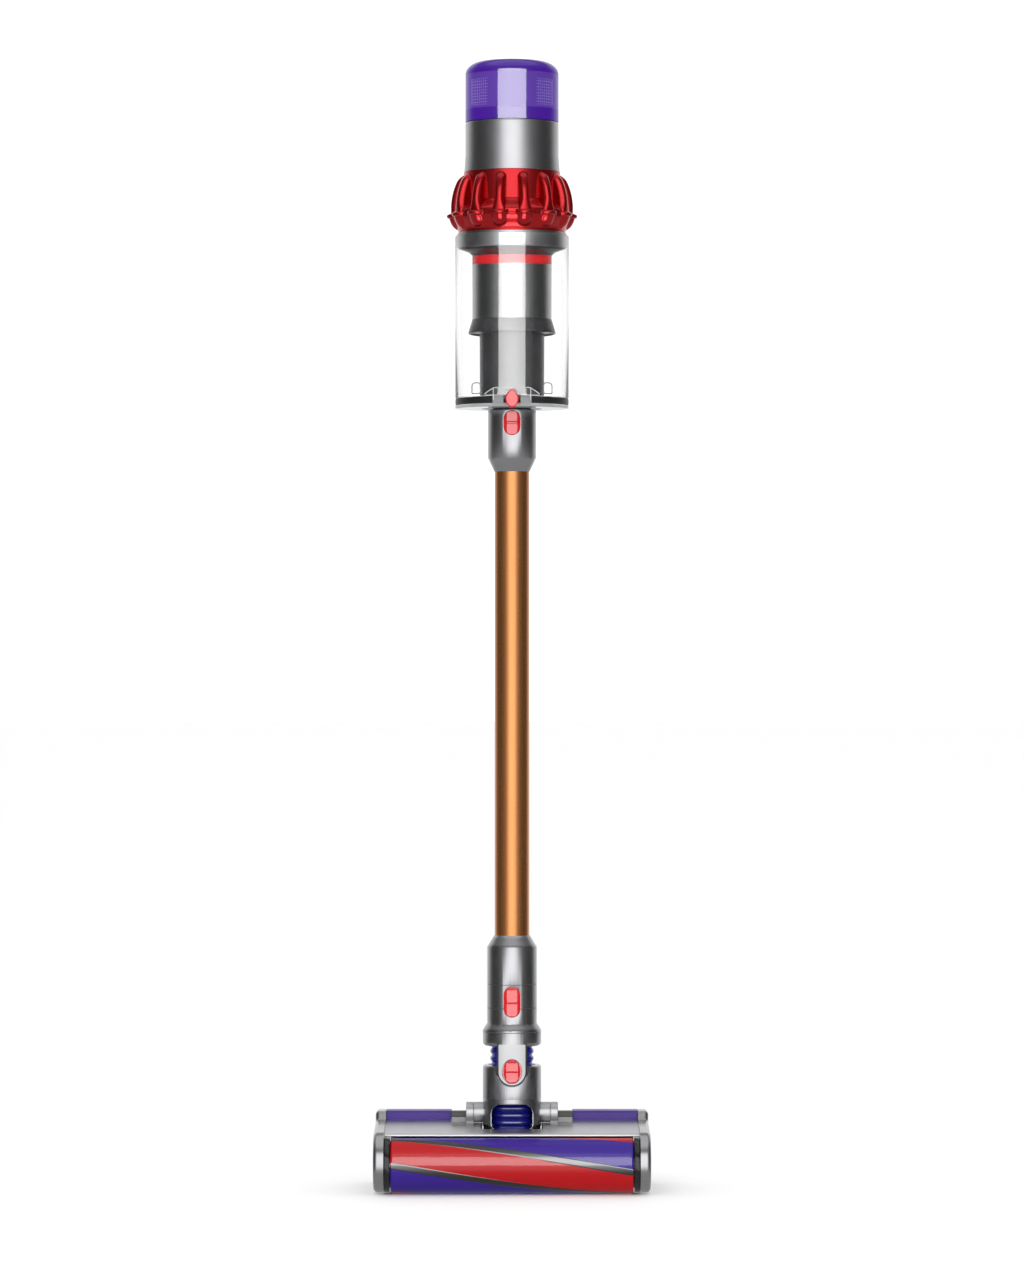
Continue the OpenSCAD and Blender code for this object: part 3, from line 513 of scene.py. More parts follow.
def rounded(corners, radius=0.6, steps=5):
    """A closed outline with its corners rounded. A corner may carry its own radius as a third value."""
    points = []
    for i, corner in enumerate(corners):
        here = Vector(corner[:2])
        own = corner[2] if len(corner) > 2 else radius
        before = Vector(corners[i - 1][:2]) - here
        after = Vector(corners[(i + 1) % len(corners)][:2]) - here
        half = before.angle(after) / 2
        if own == 0 or half > math.radians(86):
            points.append(here)
            continue
        reach = min(own / math.tan(half), before.length * 0.49, after.length * 0.49)
        own = reach * math.tan(half)
        middle = here + (before.normalized() + after.normalized()).normalized() * (own / math.sin(half))
        start = here + before.normalized() * reach - middle
        end = here + after.normalized() * reach - middle
        span = start.angle(end)
        for k in range(steps + 1):
            a = k / steps
            swing = start * math.sin((1 - a) * span) + end * math.sin(a * span)
            points.append(middle + swing / math.sin(span))
    return points


def strip_faces(rows, columns, wrap_rows=False, wrap_columns=True):
    """Faces between neighbouring rows of points."""
    faces = []
    for i in range(rows if wrap_rows else rows - 1):
        for j in range(columns if wrap_columns else columns - 1):
            a, b = i * columns, (i + 1) % rows * columns
            k = (j + 1) % columns
            faces.append((a + j, a + k, b + k, b + j))
    return faces


def end_faces(rows, columns):
    """The two faces that close the first and the last row."""
    last = (rows - 1) * columns
    return [tuple(range(columns))[::-1], tuple(range(last, last + columns))]


def upright(r, z, a):
    """A point round the wand's axis, at an angle from the front."""
    return (r * math.sin(a), -r * math.cos(a), z)


def round_roller(r, x, a):
    """A point round the roller's axis, at an angle above the front."""
    return (x, ROLLER_Y - r * math.cos(a), ROLLER_Z + r * math.sin(a))


def across(side):
    """Places a tower that is stacked outwards along x, on one side."""
    return lambda y, z, x: (side * x, y, z)


def rearward(x, z, y):
    """Places a tower that is stacked along y."""
    return (x, y, z)


def bowed(r, x):
    """The y of the front of a cylinder of this radius round the wand's axis."""
    return -math.sqrt(r * r - x * x)


def oval(half_x, half_y, power, count):
    """A closed outline between an ellipse and a rectangle."""

    def squared(value):
        return math.copysign(abs(value) ** power, value)

    return [(half_x * squared(math.cos(a)), half_y * squared(math.sin(a))) for a in full_turn(count)]


def turned(profile, segments=144, place=upright):
    """A closed profile of radius and height, turned about an axis."""
    verts = [place(p[0], p[1], a) for p in profile for a in full_turn(segments)]
    return verts, strip_faces(len(profile), segments, wrap_rows=True)


def tower(outline, levels, place):
    """Sections of one closed outline, each drawn in by its own inset, stacked and closed at both ends."""
    count = len(outline)
    area = sum(outline[i - 1].x * outline[i].y - outline[i].x * outline[i - 1].y for i in range(count))
    side = 1 if area > 0 else -1
    normals = []
    for i in range(count):
        run = outline[(i + 1) % count] - outline[i - 1]
        normals.append(Vector((-run.y, run.x)).normalized() * side)
    verts = []
    for height, inset in levels:
        verts += [place(*(outline[i] + normals[i] * inset), height) for i in range(count)]
    return verts, strip_faces(len(levels), count) + end_faces(len(levels), count)


def round_levels(start, end, radius, steps=6):
    """Levels of a tower whose two ends are rounded."""
    curve = [(radius * (1 - math.sin(a)), radius * (1 - math.cos(a))) for a in quarter_turn(steps)]
    first = [(start + rise, inset) for inset, rise in curve]
    return first + [(end - rise, inset) for inset, rise in reversed(curve)]


def framed(outer, inner, middle, front, depth, lip=0.5, rings=8, rays=240):
    """A plate with a hole. Rays from the middle meet both outlines, and front gives the depth of the face."""
    def reach(outline, a):
        way = Vector((math.cos(a), math.sin(a)))
        best = None
        for k in range(len(outline)):
            p, q = outline[k - 1] - middle, outline[k] - middle
            edge = q - p
            det = way.x * -edge.y + edge.x * way.y
            if abs(det) < 1e-9:
                continue
            along = (p.x * -edge.y + edge.x * p.y) / det
            share = (way.x * p.y - way.y * p.x) / det
            if along > 0 and -1e-6 <= share <= 1 + 1e-6:
                best = along if best is None else max(best, along)
        return best

    loops = [[] for _ in range(rings + 4)]
    for a in full_turn(rays):
        way = Vector((math.cos(a), math.sin(a)))
        far, near = reach(outer, a), reach(inner, a)
        flat = [(far + (near + lip - far) * k / rings, 0) for k in range(rings + 1)]
        levels = [(far, depth)] + flat + [(near, lip), (near, depth)]
        for loop, (out, back) in zip(loops, levels):
            spot = middle + way * out
            loop.append((spot.x, front(spot.x, spot.y) + back, spot.y))
    verts = [v for loop in loops for v in loop]
    return verts, strip_faces(rings + 4, rays, wrap_rows=True)


# ---------- Filter ----------

def make_filter():
    r, top = high("filter_dome").x, high("filter_dome").z
    base = low("filter_dome").z
    inwards, down = 19.5, 14.0
    shoulder = [(r - inwards * (1 - math.sin(a)), top - down * (1 - math.cos(a))) for a in quarter_turn(16)]
    dome = [(0.1, base + 2), (0.1, top)] + shoulder + [(r, base), (r - 2, base), (r - 2, base + 2)]
    piece("filter_cap", *turned(dome), "filter_dark", "filter", ["filter_dome"], group=filter_parts)
    # Fine pale lattice moulded on the wall, at both sides of the front
    wall_r = high("filter_wall").x + 0.03
    foot, head = low("filter_wall").z + 2.5, high("filter_wall").z - 7
    columns, rows = 9, 9
    for side, name in SIDES:
        verts = []
        for i in range(rows + 1):
            for j in range(columns + 1):
                turn = side * math.radians(31 + 29 * j / columns)
                verts.append(upright(wall_r, foot + (head - foot) * i / rows, turn))
        faces = strip_faces(rows + 1, columns + 1, wrap_columns=False)
        lattice = piece("filter_lattice_" + name, verts, faces, "lattice", "filter", slot="media")
        wire = lattice.modifiers.new("wire", "WIREFRAME")
        wire.thickness = 0.3 * MM
        wire.use_even_offset = False
    for node in ("filter_ring", "filter_wall"):
        filter_parts.objects.link(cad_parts[node])


# ---------- Motor housing ----------

def make_motor():
    foot, top, r = low("motor_housing").z, high("motor_housing").z, high("filter_ring").x
    shell = rounded([
        (r - 3, foot + 0.05, 0.3), (r + 1.3, foot + 0.05, 0.4), (r + 1.2, foot + 1.2, 0.4),
        (r, foot + 17, 12), (r, top - 1.6, 0.2), (r - 0.5, top - 1.3, 0.2),
        (r - 0.5, top - 0.2, 0.2), (r - 3, top - 0.2, 0.5),
    ])
    piece("motor_shell", *turned(shell), "nickel", "machine", ["motor_housing"])


# ---------- Cyclones ----------

CYCLONES = 14
FLANGE_UP, FLANGE_R = 17.8, 62.5
CONE_R, CONE_SPREAD = 57.0, 6.0
FINGER_REACH, FINGER_HALF_W = 13.3, 6.4
LIP_R, LIP_MIDDLE_R, LIP_HALF_H = 10.2, 58.6, 2.5
CUP_R, CUP_MIDDLE_R = 9.3, 58.2


def cup_edge(middle_r, cup_r, side):
    """How far out a round cup reaches at an angle from its middle, or 0 beside it."""
    beside = middle_r * math.sin(side)
    if abs(beside) >= cup_r:
        return 0.0
    return middle_r * math.cos(side) + math.sqrt(cup_r ** 2 - beside ** 2)


def cyclone_radius(turn, z, foot, top, core_r):
    """Radius of the red shell: the core, its fingers, the flange of cups and the cups below it."""
    pitch = TURN / CYCLONES
    side = ((turn / pitch) % 1.0 - 0.5) * pitch
    flange = foot + FLANGE_UP
    # Shelf that spreads from the core to the flange, and the cone under it
    shelf = core_r + (FLANGE_R - core_r) * smooth((flange + 17 - z) / 14)
    cone = CONE_R + CONE_SPREAD * smooth((z - foot) / FLANGE_UP)
    r = shelf if z > flange else cone
    # Finger
    climb = max(0.0, (z - flange - 7) / (top - flange - 8))
    reach = core_r + FINGER_REACH * max(0.0, 1 - climb * climb) ** 0.72
    beside = abs(side) * (core_r + 8)
    above = max(0.0, z - (top - 3.0 - FINGER_HALF_W))
    spot = math.hypot(beside, above) / FINGER_HALF_W
    if z > flange - 2 and spot < 1:
        rise = max(0.0, reach - r + 0.4)
        r = r + rise * (1 - spot ** 2.6) ** 0.5
    # Round lip on top of each cup
    off_lip = abs(z - flange) / LIP_HALF_H
    if off_lip < 1:
        edge = cup_edge(LIP_MIDDLE_R, LIP_R + 0.5 * math.sqrt(1 - off_lip ** 2), side)
        r = max(r, r + (edge - r) * math.sqrt(1 - off_lip ** 4))
    # Cup, which narrows downwards
    down = (flange - z) / (FLANGE_UP - 2.2)
    if 0 < down < 1:
        r = max(r, cup_edge(CUP_MIDDLE_R - 4.6 * down, CUP_R * (1 - down ** 3.2) ** 0.5, side))
    return r


def make_cyclones():
    foot, top = low("cyclone_core").z + 0.1, high("cyclone_core").z - 0.15
    core_r = high("cyclone_core").x
    columns, rows = CYCLONES * 44, 96
    turns = full_turn(columns)
    verts = []
    for i in range(rows + 1):
        z = foot + (top - foot) * i / rows
        verts += [upright(cyclone_radius(a, z, foot, top, core_r), z, a) for a in turns]
    inner = 45.0
    back = ((core_r - 0.4, top), (inner, top), (inner, foot))
    for r, z in back:
        verts += [upright(r, z, a) for a in turns]
    faces = strip_faces(rows + 1 + len(back), columns, wrap_rows=True)
    piece("cyclone_shell", verts, faces, "cyclone_red", "machine", ["cyclone_core", "cyclone_pack"], sharp=50,
          group=cyclone_parts)


# ---------- Bin ----------

BIN_R = high("bin_wall").x
BIN_FOOT = low("door_seal").z + 7.4
SEAL_LOW, SEAL_HIGH = low("door_seal").z, high("door_seal").z
HOOD_OUT = 4.2
LATCH_GAP = 8.9


def make_bin_wall():
    top, wall = high("bin_wall").z, 1.3
    tube = rounded([(BIN_R - wall, BIN_FOOT), (BIN_R, BIN_FOOT), (BIN_R, top), (BIN_R - wall, top)], 0.9)
    piece("bin_glass", *turned(tube, 180), "clear", "bin", ["bin_wall"], group=gloss_parts)


def hood_top(x):
    """Height of the hood's upper edge above the wall's foot. It falls to both sides."""
    return 1.0 + 7.6 * min(1.0, (29.6 - abs(x)) / 11.0) ** 0.8


def make_latch_hood():
    """The clear hood over the latch, with an arched opening for its tab."""
    half_w, columns = 29.5, 120
    verts = []
    for k in range(columns + 1):
        x = -half_w + 2 * half_w * k / columns
        over = hood_top(x)
        under = 6.6 * math.sqrt(max(0.0, 1 - (x / LATCH_GAP) ** 2))
        section = [(under, 0.15), (under, 3.7), (under + 0.5, HOOD_OUT)]
        section += [(over - 0.5, HOOD_OUT), (over, 3.7), (over, 0.15)]
        verts += [(x, bowed(BIN_R + out, x), BIN_FOOT + 0.2 + up) for up, out in section]
    faces = strip_faces(columns + 1, 6) + end_faces(columns + 1, 6)
    piece("latch_hood", verts, faces, "clear", "bin", group=gloss_parts)


# Its default look, edge_white, is a painted highlight colour.
def bead(name, path, radius=0.32, look="edge_white"):
    """A thin line on the bin's front, through points of x, height above the wall's foot and distance out."""
    sides = 6
    verts = []
    for k, (x, up, out) in enumerate(path):
        before, after = path[max(0, k - 1)], path[min(len(path) - 1, k + 1)]
        run = Vector((after[0] - before[0], after[1] - before[1])).normalized()
        for a in full_turn(sides):
            wide, deep = radius * math.cos(a), radius * math.sin(a)
            verts.append((x - run.y * wide, bowed(BIN_R + out, x) - deep, BIN_FOOT + up + run.x * wide))
    faces = strip_faces(len(path), sides) + end_faces(len(path), sides)
    piece(name, verts, faces, look, "bin", slot="clear")


def make_bin_edges():
    """Painted highlights: opaque white lines along the edges of the clear hood. Painted shade: grey lines on
    the outlines of two moulded bosses beside the inner tube.
    """
    half_w, steps = 29.0, 48
    xs = [-half_w + 2 * half_w * k / steps for k in range(steps + 1)]
    # Painted highlights: white lines along the clear hood's edges
    bead("hood_edge_arch", [(x, hood_top(x), HOOD_OUT) for x in xs])
    for side, name in SIDES:
        end_x = side * 19.6
        bead("hood_edge_side_" + name, [(end_x, -4.0, 0.3), (end_x, 3.0, 3.6), (end_x, 7.5, HOOD_OUT)])
        bead("hood_edge_sill_" + name, [(side * x, 0.6, HOOD_OUT) for x in (LATCH_GAP, 14, 20, 28.5)])
    # Painted shade: grey lines drawn on the outlines of two moulded bosses
    for side, name in SIDES:
        outline = rounded([(33.2, 3.4, 1), (33.2, 14.6, 3), (41.8, 14.6, 3.5), (41.8, 3.4, 1)], steps=6)
        outline.append(outline[0])
        bead("boss_edge_" + name, [(side * q.x, q.y, -3.2) for q in outline], 0.6, "edge_grey")


def make_door_ears():
    """Ears of the door's hinge."""
    pin_r = 3.2
    pin_y, pin_z = high("bin_door").y - pin_r, high("bin_door").z - pin_r
    half_turn = full_turn(24)[:13]
    ear = [Vector((pin_y + pin_r * math.sin(a), pin_z - pin_r * math.cos(a))) for a in half_turn]
    ear += [Vector((pin_y + 0.4, pin_z + 8)), Vector((BIN_R - 1.1, pin_z + 9.5))]
    ear += [Vector((BIN_R - 1.1, BIN_FOOT + 0.2)), Vector((pin_y - 3.1, pin_z - 1.5))]
    for side, name in SIDES:
        verts, faces = tower(ear, [(5.5, 0.4), (5.9, 0), (8.9, 0), (9.3, 0.4)], across(side))
        piece("door_ear_" + name, verts, faces, "clear_edge", "bin", slot="clear")


def make_seal():
    """The black seal ring, open in front of the latch."""
    gap, steps = math.asin(21 / BIN_R), 150
    inner, outer, foot = BIN_R - 7, BIN_R - 0.2, SEAL_LOW + 0.1
    section = rounded([(inner, foot), (outer, foot), (outer, SEAL_HIGH), (inner, SEAL_HIGH)], 1.2, 4)
    turns = [gap + (TURN - 2 * gap) * j / steps for j in range(steps + 1)]
    verts = [upright(p.x, p.y, a) for p in section for a in turns]
    faces = strip_faces(len(section), steps + 1, wrap_rows=True, wrap_columns=False)
    for j in (0, steps):
        faces.append(tuple(i * (steps + 1) + j for i in range(len(section))))
    piece("seal_ring", verts, faces, "seal", "door", ["door_seal"])


def make_door_blocks():
    """Clear front blocks of the door, either side of the latch, and two moulded bosses."""
    start, end, foot = 9, 20.4, SEAL_LOW + 0.05
    block = rounded([(start, foot), (end, foot), (end, SEAL_HIGH), (start, SEAL_HIGH)], 0.8)
    boss = rounded([
        (0.01, 0, 0), (0.01, 11.5, 0), (3.7, 11.5, 1.6), (3.7, 7.5, 0.3), (3.0, 6.8, 0.3), (3.0, 5.5, 0.3),
        (3.9, 4.8, 0.3), (3.9, 0, 0.5),
    ], 1)
    for side, name in SIDES:
        outline = [Vector((side * p.x, p.y)) for p in block]
        verts, faces = tower(outline, [(-6.5, 0), (-0.3, 0)], lambda x, z, out: (x, bowed(BIN_R + out, x), z))
        piece("door_block_" + name, verts, faces, "clear_edge", "door", slot="clear")
        verts, faces = turned(boss, 24)
        verts = [(x + side * 38.4, y, z + SEAL_LOW + 0.2) for x, y, z in verts]
        piece("door_boss_" + name, verts, faces, "clear_edge", "door", slot="clear")


def make_latch():
    """A red oval tab that narrows to its top."""
    tip_z, tall, half_w = BIN_FOOT + 6.8, 19.0, 7.0
    outline = []
    for a in full_turn(40):
        lift = math.sin(a)
        x = half_w * math.cos(a) * (1 - 0.22 * smooth(lift))
        outline.append(Vector((x, tip_z + tall * (lift - 1) / 2)))
    levels = [(-4.6, 0), (-1.2, 0), (-0.5, 0.25), (-0.1, 0.8), (0.1, 1.6)]
    verts, faces = tower(outline, levels, lambda x, z, out: (x, -BIN_R - 3.5 - out, z))
    piece("latch_tab", verts, faces, "red_button", "latch", ["door_latch"], group=button_parts)


def make_bin_inside():
    """The collar above the clear wall, its underside darkened as painted shade, and the flared skirt below
    the mesh.
    """
    foot, top = low("bin_collar").z, high("bin_collar").z
    neck, rim = high("shroud_mesh").x, high("bin_collar").x + 0.9
    collar = rounded([
        (neck, foot + 8.4, 0), (rim - 1.0, foot + 8.4, 0.4), (rim, foot + 9.4, 1), (rim, top - 0.1, 0.8),
        (neck, top - 0.1, 0),
    ])
    piece("collar_ring", *turned(collar), "nickel", "machine", ["bin_collar"])
    # Painted shade: the collar's nickel underside is made gloss black
    cone = rounded([
        (neck - 3, foot + 0.05, 0), (neck + 0.6, foot + 0.05, 0.4), (neck + 3.0, foot + 2.6, 4),
        (rim - 1.6, foot + 7.4, 0.6), (rim - 1.6, foot + 8.6, 0), (neck - 3, foot + 8.6, 0),
    ])
    piece("collar_cone", *turned(cone), "black_gloss", "machine", slot="nickel")
    foot, top, edge = low("shroud_skirt").z, high("shroud_skirt").z, high("shroud_skirt").x
    skirt = rounded([
        (22, foot + 1.4, 0), (36, foot + 1.4, 0.5), (edge - 2.2, foot + 1.4, 0.4), (edge - 1.4, foot, 0.4),
        (edge, foot, 0.4), (edge, foot + 1.5, 0.5), (neck + 0.3, top - 0.1, 0.3), (neck - 3.5, top - 0.1, 0),
        (22, foot + 3, 0),
    ])
    piece("skirt", *turned(skirt), "core_grey", "machine", ["shroud_skirt"])


# ---------- Buttons ----------

def make_button(node, half_w, waist, flat, rib):
    """A release button: flat pad in the middle, sloping sides and a rib across."""
    foot, top, face = low(node).z, high(node).z, low(node).y
    tall = top - foot
    columns, rows = 24, 48
    stride = columns + 1

    def half_width(z):
        inside = min(z - foot, top - z)
        if inside >= waist:
            return half_w
        share = max(0.0, 1 - ((waist - inside) / waist) ** 2)
        return max(0.02, half_w * share ** 0.5)

    def depth(x, z):
        edge = min(half_width(z) - abs(x), z - foot, top - z)
        side = max(0.0, abs(x) - flat) / (half_w - flat)
        fall = 2.0 * side ** 1.15
        rim = 1.3 * (1 - min(1.0, max(0.0, edge) / 1.3)) ** 2.2
        ridge = 0.55 * smooth(1 - abs(z - (foot + tall / 2)) / rib) * smooth((flat + 1.2 - abs(x)) / 1.2)
        dish = 0.5 * smooth(1 - abs(x) / flat * 0.3) * smooth(min(z - foot, top - z) / 4.0)
        return fall + rim + dish - ridge

    verts = []
    for i in range(rows + 1):
        z = foot + tall * (1 - math.cos(math.pi * i / rows)) / 2
        for j in range(stride):
            x = half_width(z) * math.sin(math.pi * (j / columns - 0.5))
            verts.append((x, face + 0.05 + depth(x, z), z))
    faces = strip_faces(rows + 1, stride, wrap_columns=False)
    # The skirt of the button goes back into its pocket
    rim = [i * stride for i in range(rows + 1)]
    rim += [rows * stride + j for j in range(1, stride)]
    rim += [i * stride + columns for i in range(rows - 1, -1, -1)]
    rim += list(range(columns - 1, 0, -1))
    start, count = len(verts), len(rim)
    back = high(node).y - 0.35
    verts += [(verts[k][0], back, verts[k][2]) for k in rim]
    faces += [(rim[k], rim[(k + 1) % count], start + (k + 1) % count, start + k) for k in range(count)]
    faces.append(tuple(range(start, start + count)))
    piece(node + "_cap", verts, faces, "red_button", node, [node], sharp=55, group=button_parts)


# ---------- Hose ----------

def make_hose(name, node, ribs, half_w, drop=0):
    """A straight ribbed hose, flattened at the front and the back, over one hinge."""
    foot, top = low(node).z - drop, high(node).z
    half_d = (high(node).y - low(node).y) / 2
    squareness, columns, rings = 2 / 2.6, 96, 10
    groove, mouth = 2.0, 4.2
    steps = ribs * rings
    verts = []

    def add_ring(z, shrink):
        verts.extend((x, y, z) for x, y in oval(half_w - shrink, half_d - shrink, squareness, columns))

    for i in range(steps + 1):
        wave = 0.5 + 0.5 * math.cos(TURN * i / rings)
        add_ring(foot + (top - foot) * i / steps, groove * (1 - wave ** 0.6))
    add_ring(top, mouth)
    add_ring(foot, mouth)
    faces = strip_faces(steps + 3, columns, wrap_rows=True)
    hose = piece(name, verts, faces, "hose", None, [node], sharp=60, group=button_parts)
    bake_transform(hose)


# ---------- Neck ----------

LEAN_Z = (low("lean_pins").z + high("lean_pins").z) / 2
NECK_R = -low("yoke").y


def make_tongue():
    """The tongue's raised face round its button, and the dark joint line round it."""
    collar_z = high("hose_upper").z
    button_low, button_high = low("neck_button"), high("neck_button")
    button = Vector((0, (button_low.z + button_high.z) / 2))
    gap = 0.35
    half_w, half_h = button_high.x + gap, (button_high.z - button_low.z) / 2 + gap
    hole = [button + Vector((half_w * math.cos(a), half_h * math.sin(a))) for a in full_turn(96)]

    def outline(half_w, top):
        lower_half = [a - math.pi for a in full_turn(96)[:49]]
        points = [Vector((half_w * math.cos(a), LEAN_Z + half_w * math.sin(a))) for a in lower_half]
        return points + [Vector((half_w, top)), Vector((-half_w, top))]

    def flat_front(x, z):
        crown_r = 75
        return -NECK_R - 0.35 + crown_r - math.sqrt(crown_r ** 2 - x * x)

    def joint_front(x, z):
        return bowed(NECK_R + 0.08, x)

    tongue_w = 14.2
    face = framed(outline(tongue_w, collar_z + 1), hole, button, flat_front, 4.0)
    piece("tongue_face", *face, "nickel", "neck", sharp=30)
    outer, inner = outline(tongue_w + 1.1, collar_z - 1), outline(tongue_w - 0.6, collar_z - 2)
    joint = framed(outer, inner, button, joint_front, 0.5, lip=0.05, rings=3)
    piece("tongue_joint", *joint, "seal", "neck", sharp=30)


def make_yoke_front():
    """Thin dark sheets as painted shade on the floors of the slots in which the tongue leans, and the arched
    window.
    """
    rise = high("yoke").z - 0.2
    # Painted shade: a thin black sheet in each slot
    for side, name in SIDES:
        corners = ((15.0, LEAN_Z - 6), (16.6, LEAN_Z - 6), (21.0, rise), (15.0, rise))
        wedge = [Vector((side * x, z)) for x, z in corners]
        piece("slot_shade_sheet_" + name, *tower(wedge, [(-23.68, 0), (-23.88, 0)], rearward), "seal", "yoke")

    foot, top, half_w = low("yoke").z - 5.6, low("yoke").z + 30, 30.4
    sill, crown, hole_w = foot + 3.9, foot + 30.6, 21.8
    arch = [(-hole_w, sill, 5), (-hole_w, crown, 11), (hole_w, crown, 11), (hole_w, sill, 5)]
    plate = rounded([(-half_w, foot, 1), (-half_w, top, 0), (half_w, top, 0), (half_w, foot, 1)], steps=4)

    def round_front(x, z):
        return bowed(NECK_R + 0.12, min(abs(x), half_w + 0.4))

    middle = Vector((0, foot + 17))
    window = framed(plate, rounded(arch, steps=10), middle, round_front, 3.2, lip=0.7, rings=14, rays=300)
    piece("window_frame", *window, "nickel", "yoke", sharp=30)


def make_hinges():
    """The trunnion barrels and the dark bars behind them."""
    pitch_z = (low("trunnion_pins").z + high("trunnion_pins").z) / 2
    bar_low, bar_high = high("rear_strips").z - 5.9, high("rear_strips").z + 0.7
    r, bore_r = 10.75, 8
    for side, name in SIDES:
        for body, start, end in (("yoke", 30.2, 40.5), ("head", 40.9, 48.6)):
            tube = rounded([(bore_r, start, 0), (r, start, 0.5), (r, end, 0.5), (bore_r, end, 0)])
            barrel = turned(tube, 96, lambda r, x, a: (side * x, r * math.sin(a), pitch_z + r * math.cos(a)))
            piece("barrel_%s_%s" % (body, name), *barrel, "barrel", body, slot="silver")
        bar = rounded([(3.7, bar_low, 1), (3.7, bar_high, 2), (17.5, bar_high, 2), (17.5, bar_low, 1)])
        verts, faces = tower(bar, [(48.7, 0), (64.1, 0)], across(side))
        piece("hinge_bar_" + name, verts, faces, "bar", "head", slot="silver")


def make_plate_trim():
    """The plate's rounded front lip, and its parts beside the hinges and the neck's bay."""
    front, edge_z, rear_z = low("top_plate").y, low("top_plate").z, high("top_plate").z
    slope = (rear_z - edge_z - 1.4) / (high("top_plate").y - front)
    reach = high("top_plate").x - 0.1
    lip = rounded([
        (front + 1.5, edge_z + 1.2), (front - 0.7, edge_z + 1.3), (front - 2.3, edge_z + 0.4),
        (front - 2.3, edge_z - 1.2), (front - 1.3, edge_z - 1.7), (front + 1.5, edge_z - 1.7),
    ], 0.5)
    levels = [(-reach, 0.3), (-reach + 0.3, 0), (reach - 0.3, 0), (reach, 0.3)]
    piece("plate_lip", *tower(lip, levels, across(1)), "silver", "head", sharp=30)

    def along_plate(start, end, over, under):
        """A four-sided section that follows the plate's slope, from one y to another."""
        corners = ((start, over), (end, over), (end, under), (start, under))
        return [Vector((y, rear_z + (y - 18) * slope + up)) for y, up in corners]

    fill, wall = along_plate(-8.9, 17.8, 0, -0.8), along_plate(-35.8, 12, -0.2, -10)
    # Painted shade: the faces beside the hinges are a darker grey than the plate
    hinge_faces = (("outer", 3.95, 48.7, 64.1, rear_z + 3.6), ("inner", -6.1, 40.7, 48.5, rear_z + 1.5))
    for side, name in SIDES:
        piece("plate_fill_" + name, *tower(fill, [(40.7, 0), (64.1, 0)], across(side)), "silver", "head")
        for part, y, start, end, top_z in hinge_faces:
            face = rounded([(start, rear_z - 2.6), (end, rear_z - 2.6), (end, top_z), (start, top_z)], 0.2)
            verts, faces = tower(face, [(y, 0), (y - 0.3, 0.1)], lambda x, z, y: (side * x, y, z))
            piece("hinge_face_%s_%s" % (part, name), verts, faces, "shade", "head", slot="silver")
        piece("bay_side_" + name, *tower(wall, [(31.25, 0), (32.5, 0)], across(side)), "seal", "head")


# ---------- Roller ----------

def make_roller():
    """The soft sleeve, and three rows of stiff filaments in the joints between its colour fields."""
    reach, r = high("roller_pile").x, high("roller_pile").z - ROLLER_Z
    inner = high("roller_core").z - ROLLER_Z + 0.05
    columns, rows, end_round = 168, 260, 1.6
    turns = full_turn(columns)
    verts = []
    for i in range(rows + 1):
        x = -reach + 2 * reach * i / rows
        pile_r = r - 0.26 - end_round * max(0.0, 1 - (reach - abs(x)) / end_round) ** 2
        for a in turns:
            fluff = noise.noise(Vector((x * 0.9, 26 * math.cos(a), 26 * math.sin(a)))) * 0.08
            verts.append(round_roller(pile_r + fluff, x, a))
    for x in (reach, -reach):
        verts += [round_roller(inner, x, a) for a in turns]
    faces = strip_faces(rows + 3, columns, wrap_rows=True)
    piece("roller_sleeve", verts, faces, "pile", "roller", ["roller_pile"], sharp=60, group=roller_parts)

    steps, lanes, half, span = 320, 10, 4.0 / r, reach - 0.8
    shares = [2 * k / lanes - 1 for k in range(lanes + 1)]
    ring = lanes + 3
    faces = strip_faces(steps + 1, ring) + end_faces(steps + 1, ring)
    for number, angle in enumerate((STRIP_ANGLE, STRIP_ANGLE - FIELD, STRIP_ANGLE - 3 * FIELD)):
        verts = []
        for i in range(steps + 1):
            x = -span + 2 * span * i / steps
            tuft = 0.02 * math.sin(i * 2.2) + 0.02 * noise.noise(Vector((x * 3, number, 0)))
            middle = angle + TWIST * x
            for share in shares:
                fall = 0.5 * abs(share) ** 14
                verts.append(round_roller(r - 0.06 - fall + tuft, x, middle + half * share))
            verts += [round_roller(inner, x, middle + half), round_roller(inner, x, middle - half)]
        name, nodes = "filament_row_%d" % (number + 1), ["filament_strips"] if number == 0 else []
        piece(name, verts, faces, "filament", "roller", nodes, sharp=60, group=roller_parts)


# ---------- Head ----------

def make_end_caps():
    a, b = low("end_cap_right"), high("end_cap_right")
    outline = rounded([
        (a.y, a.z, 30), (a.y, 63.4, 31), (13, 69.3, 3), (16.5, b.z, 3.5), (b.y, b.z, 5), (b.y, 4, 8),
    ], steps=14)
    edge_r = 4.6
    levels = [(a.x, 0), (a.x + 0.01, 0)]
    levels += [(b.x - edge_r * (1 - math.sin(t)), edge_r * (1 - math.cos(t))) for t in quarter_turn(9)]
    levels.append((b.x - 0.01, 7.5))
    for side, name in SIDES:
        verts, faces = tower(outline, levels, across(side))
        piece("cap_" + name, verts, faces, "end_cap", "head", ["end_cap_" + name], sharp=30)


# ---------- Handle and battery ----------

def make_battery():
    a, b = low("battery_case"), high("battery_case")
    outline = rounded([(a.x, a.y, 7), (a.x, b.y, 11), (b.x, b.y, 11), (b.x, a.y, 7)], steps=8)
    ends = round_levels(a.z, b.z, 5)
    seam = a.z + 96
    groove = [(seam - 0.6, 0), (seam - 0.45, 0.7), (seam + 0.45, 0.7), (seam + 0.6, 0)]
    middle = len(ends) // 2
    shell = tower(outline, ends[:middle] + groove + ends[middle:], lambda x, y, z: (x, y, z))
    piece("battery_shell", *shell, "dark_plastic", "machine", ["battery_case"])


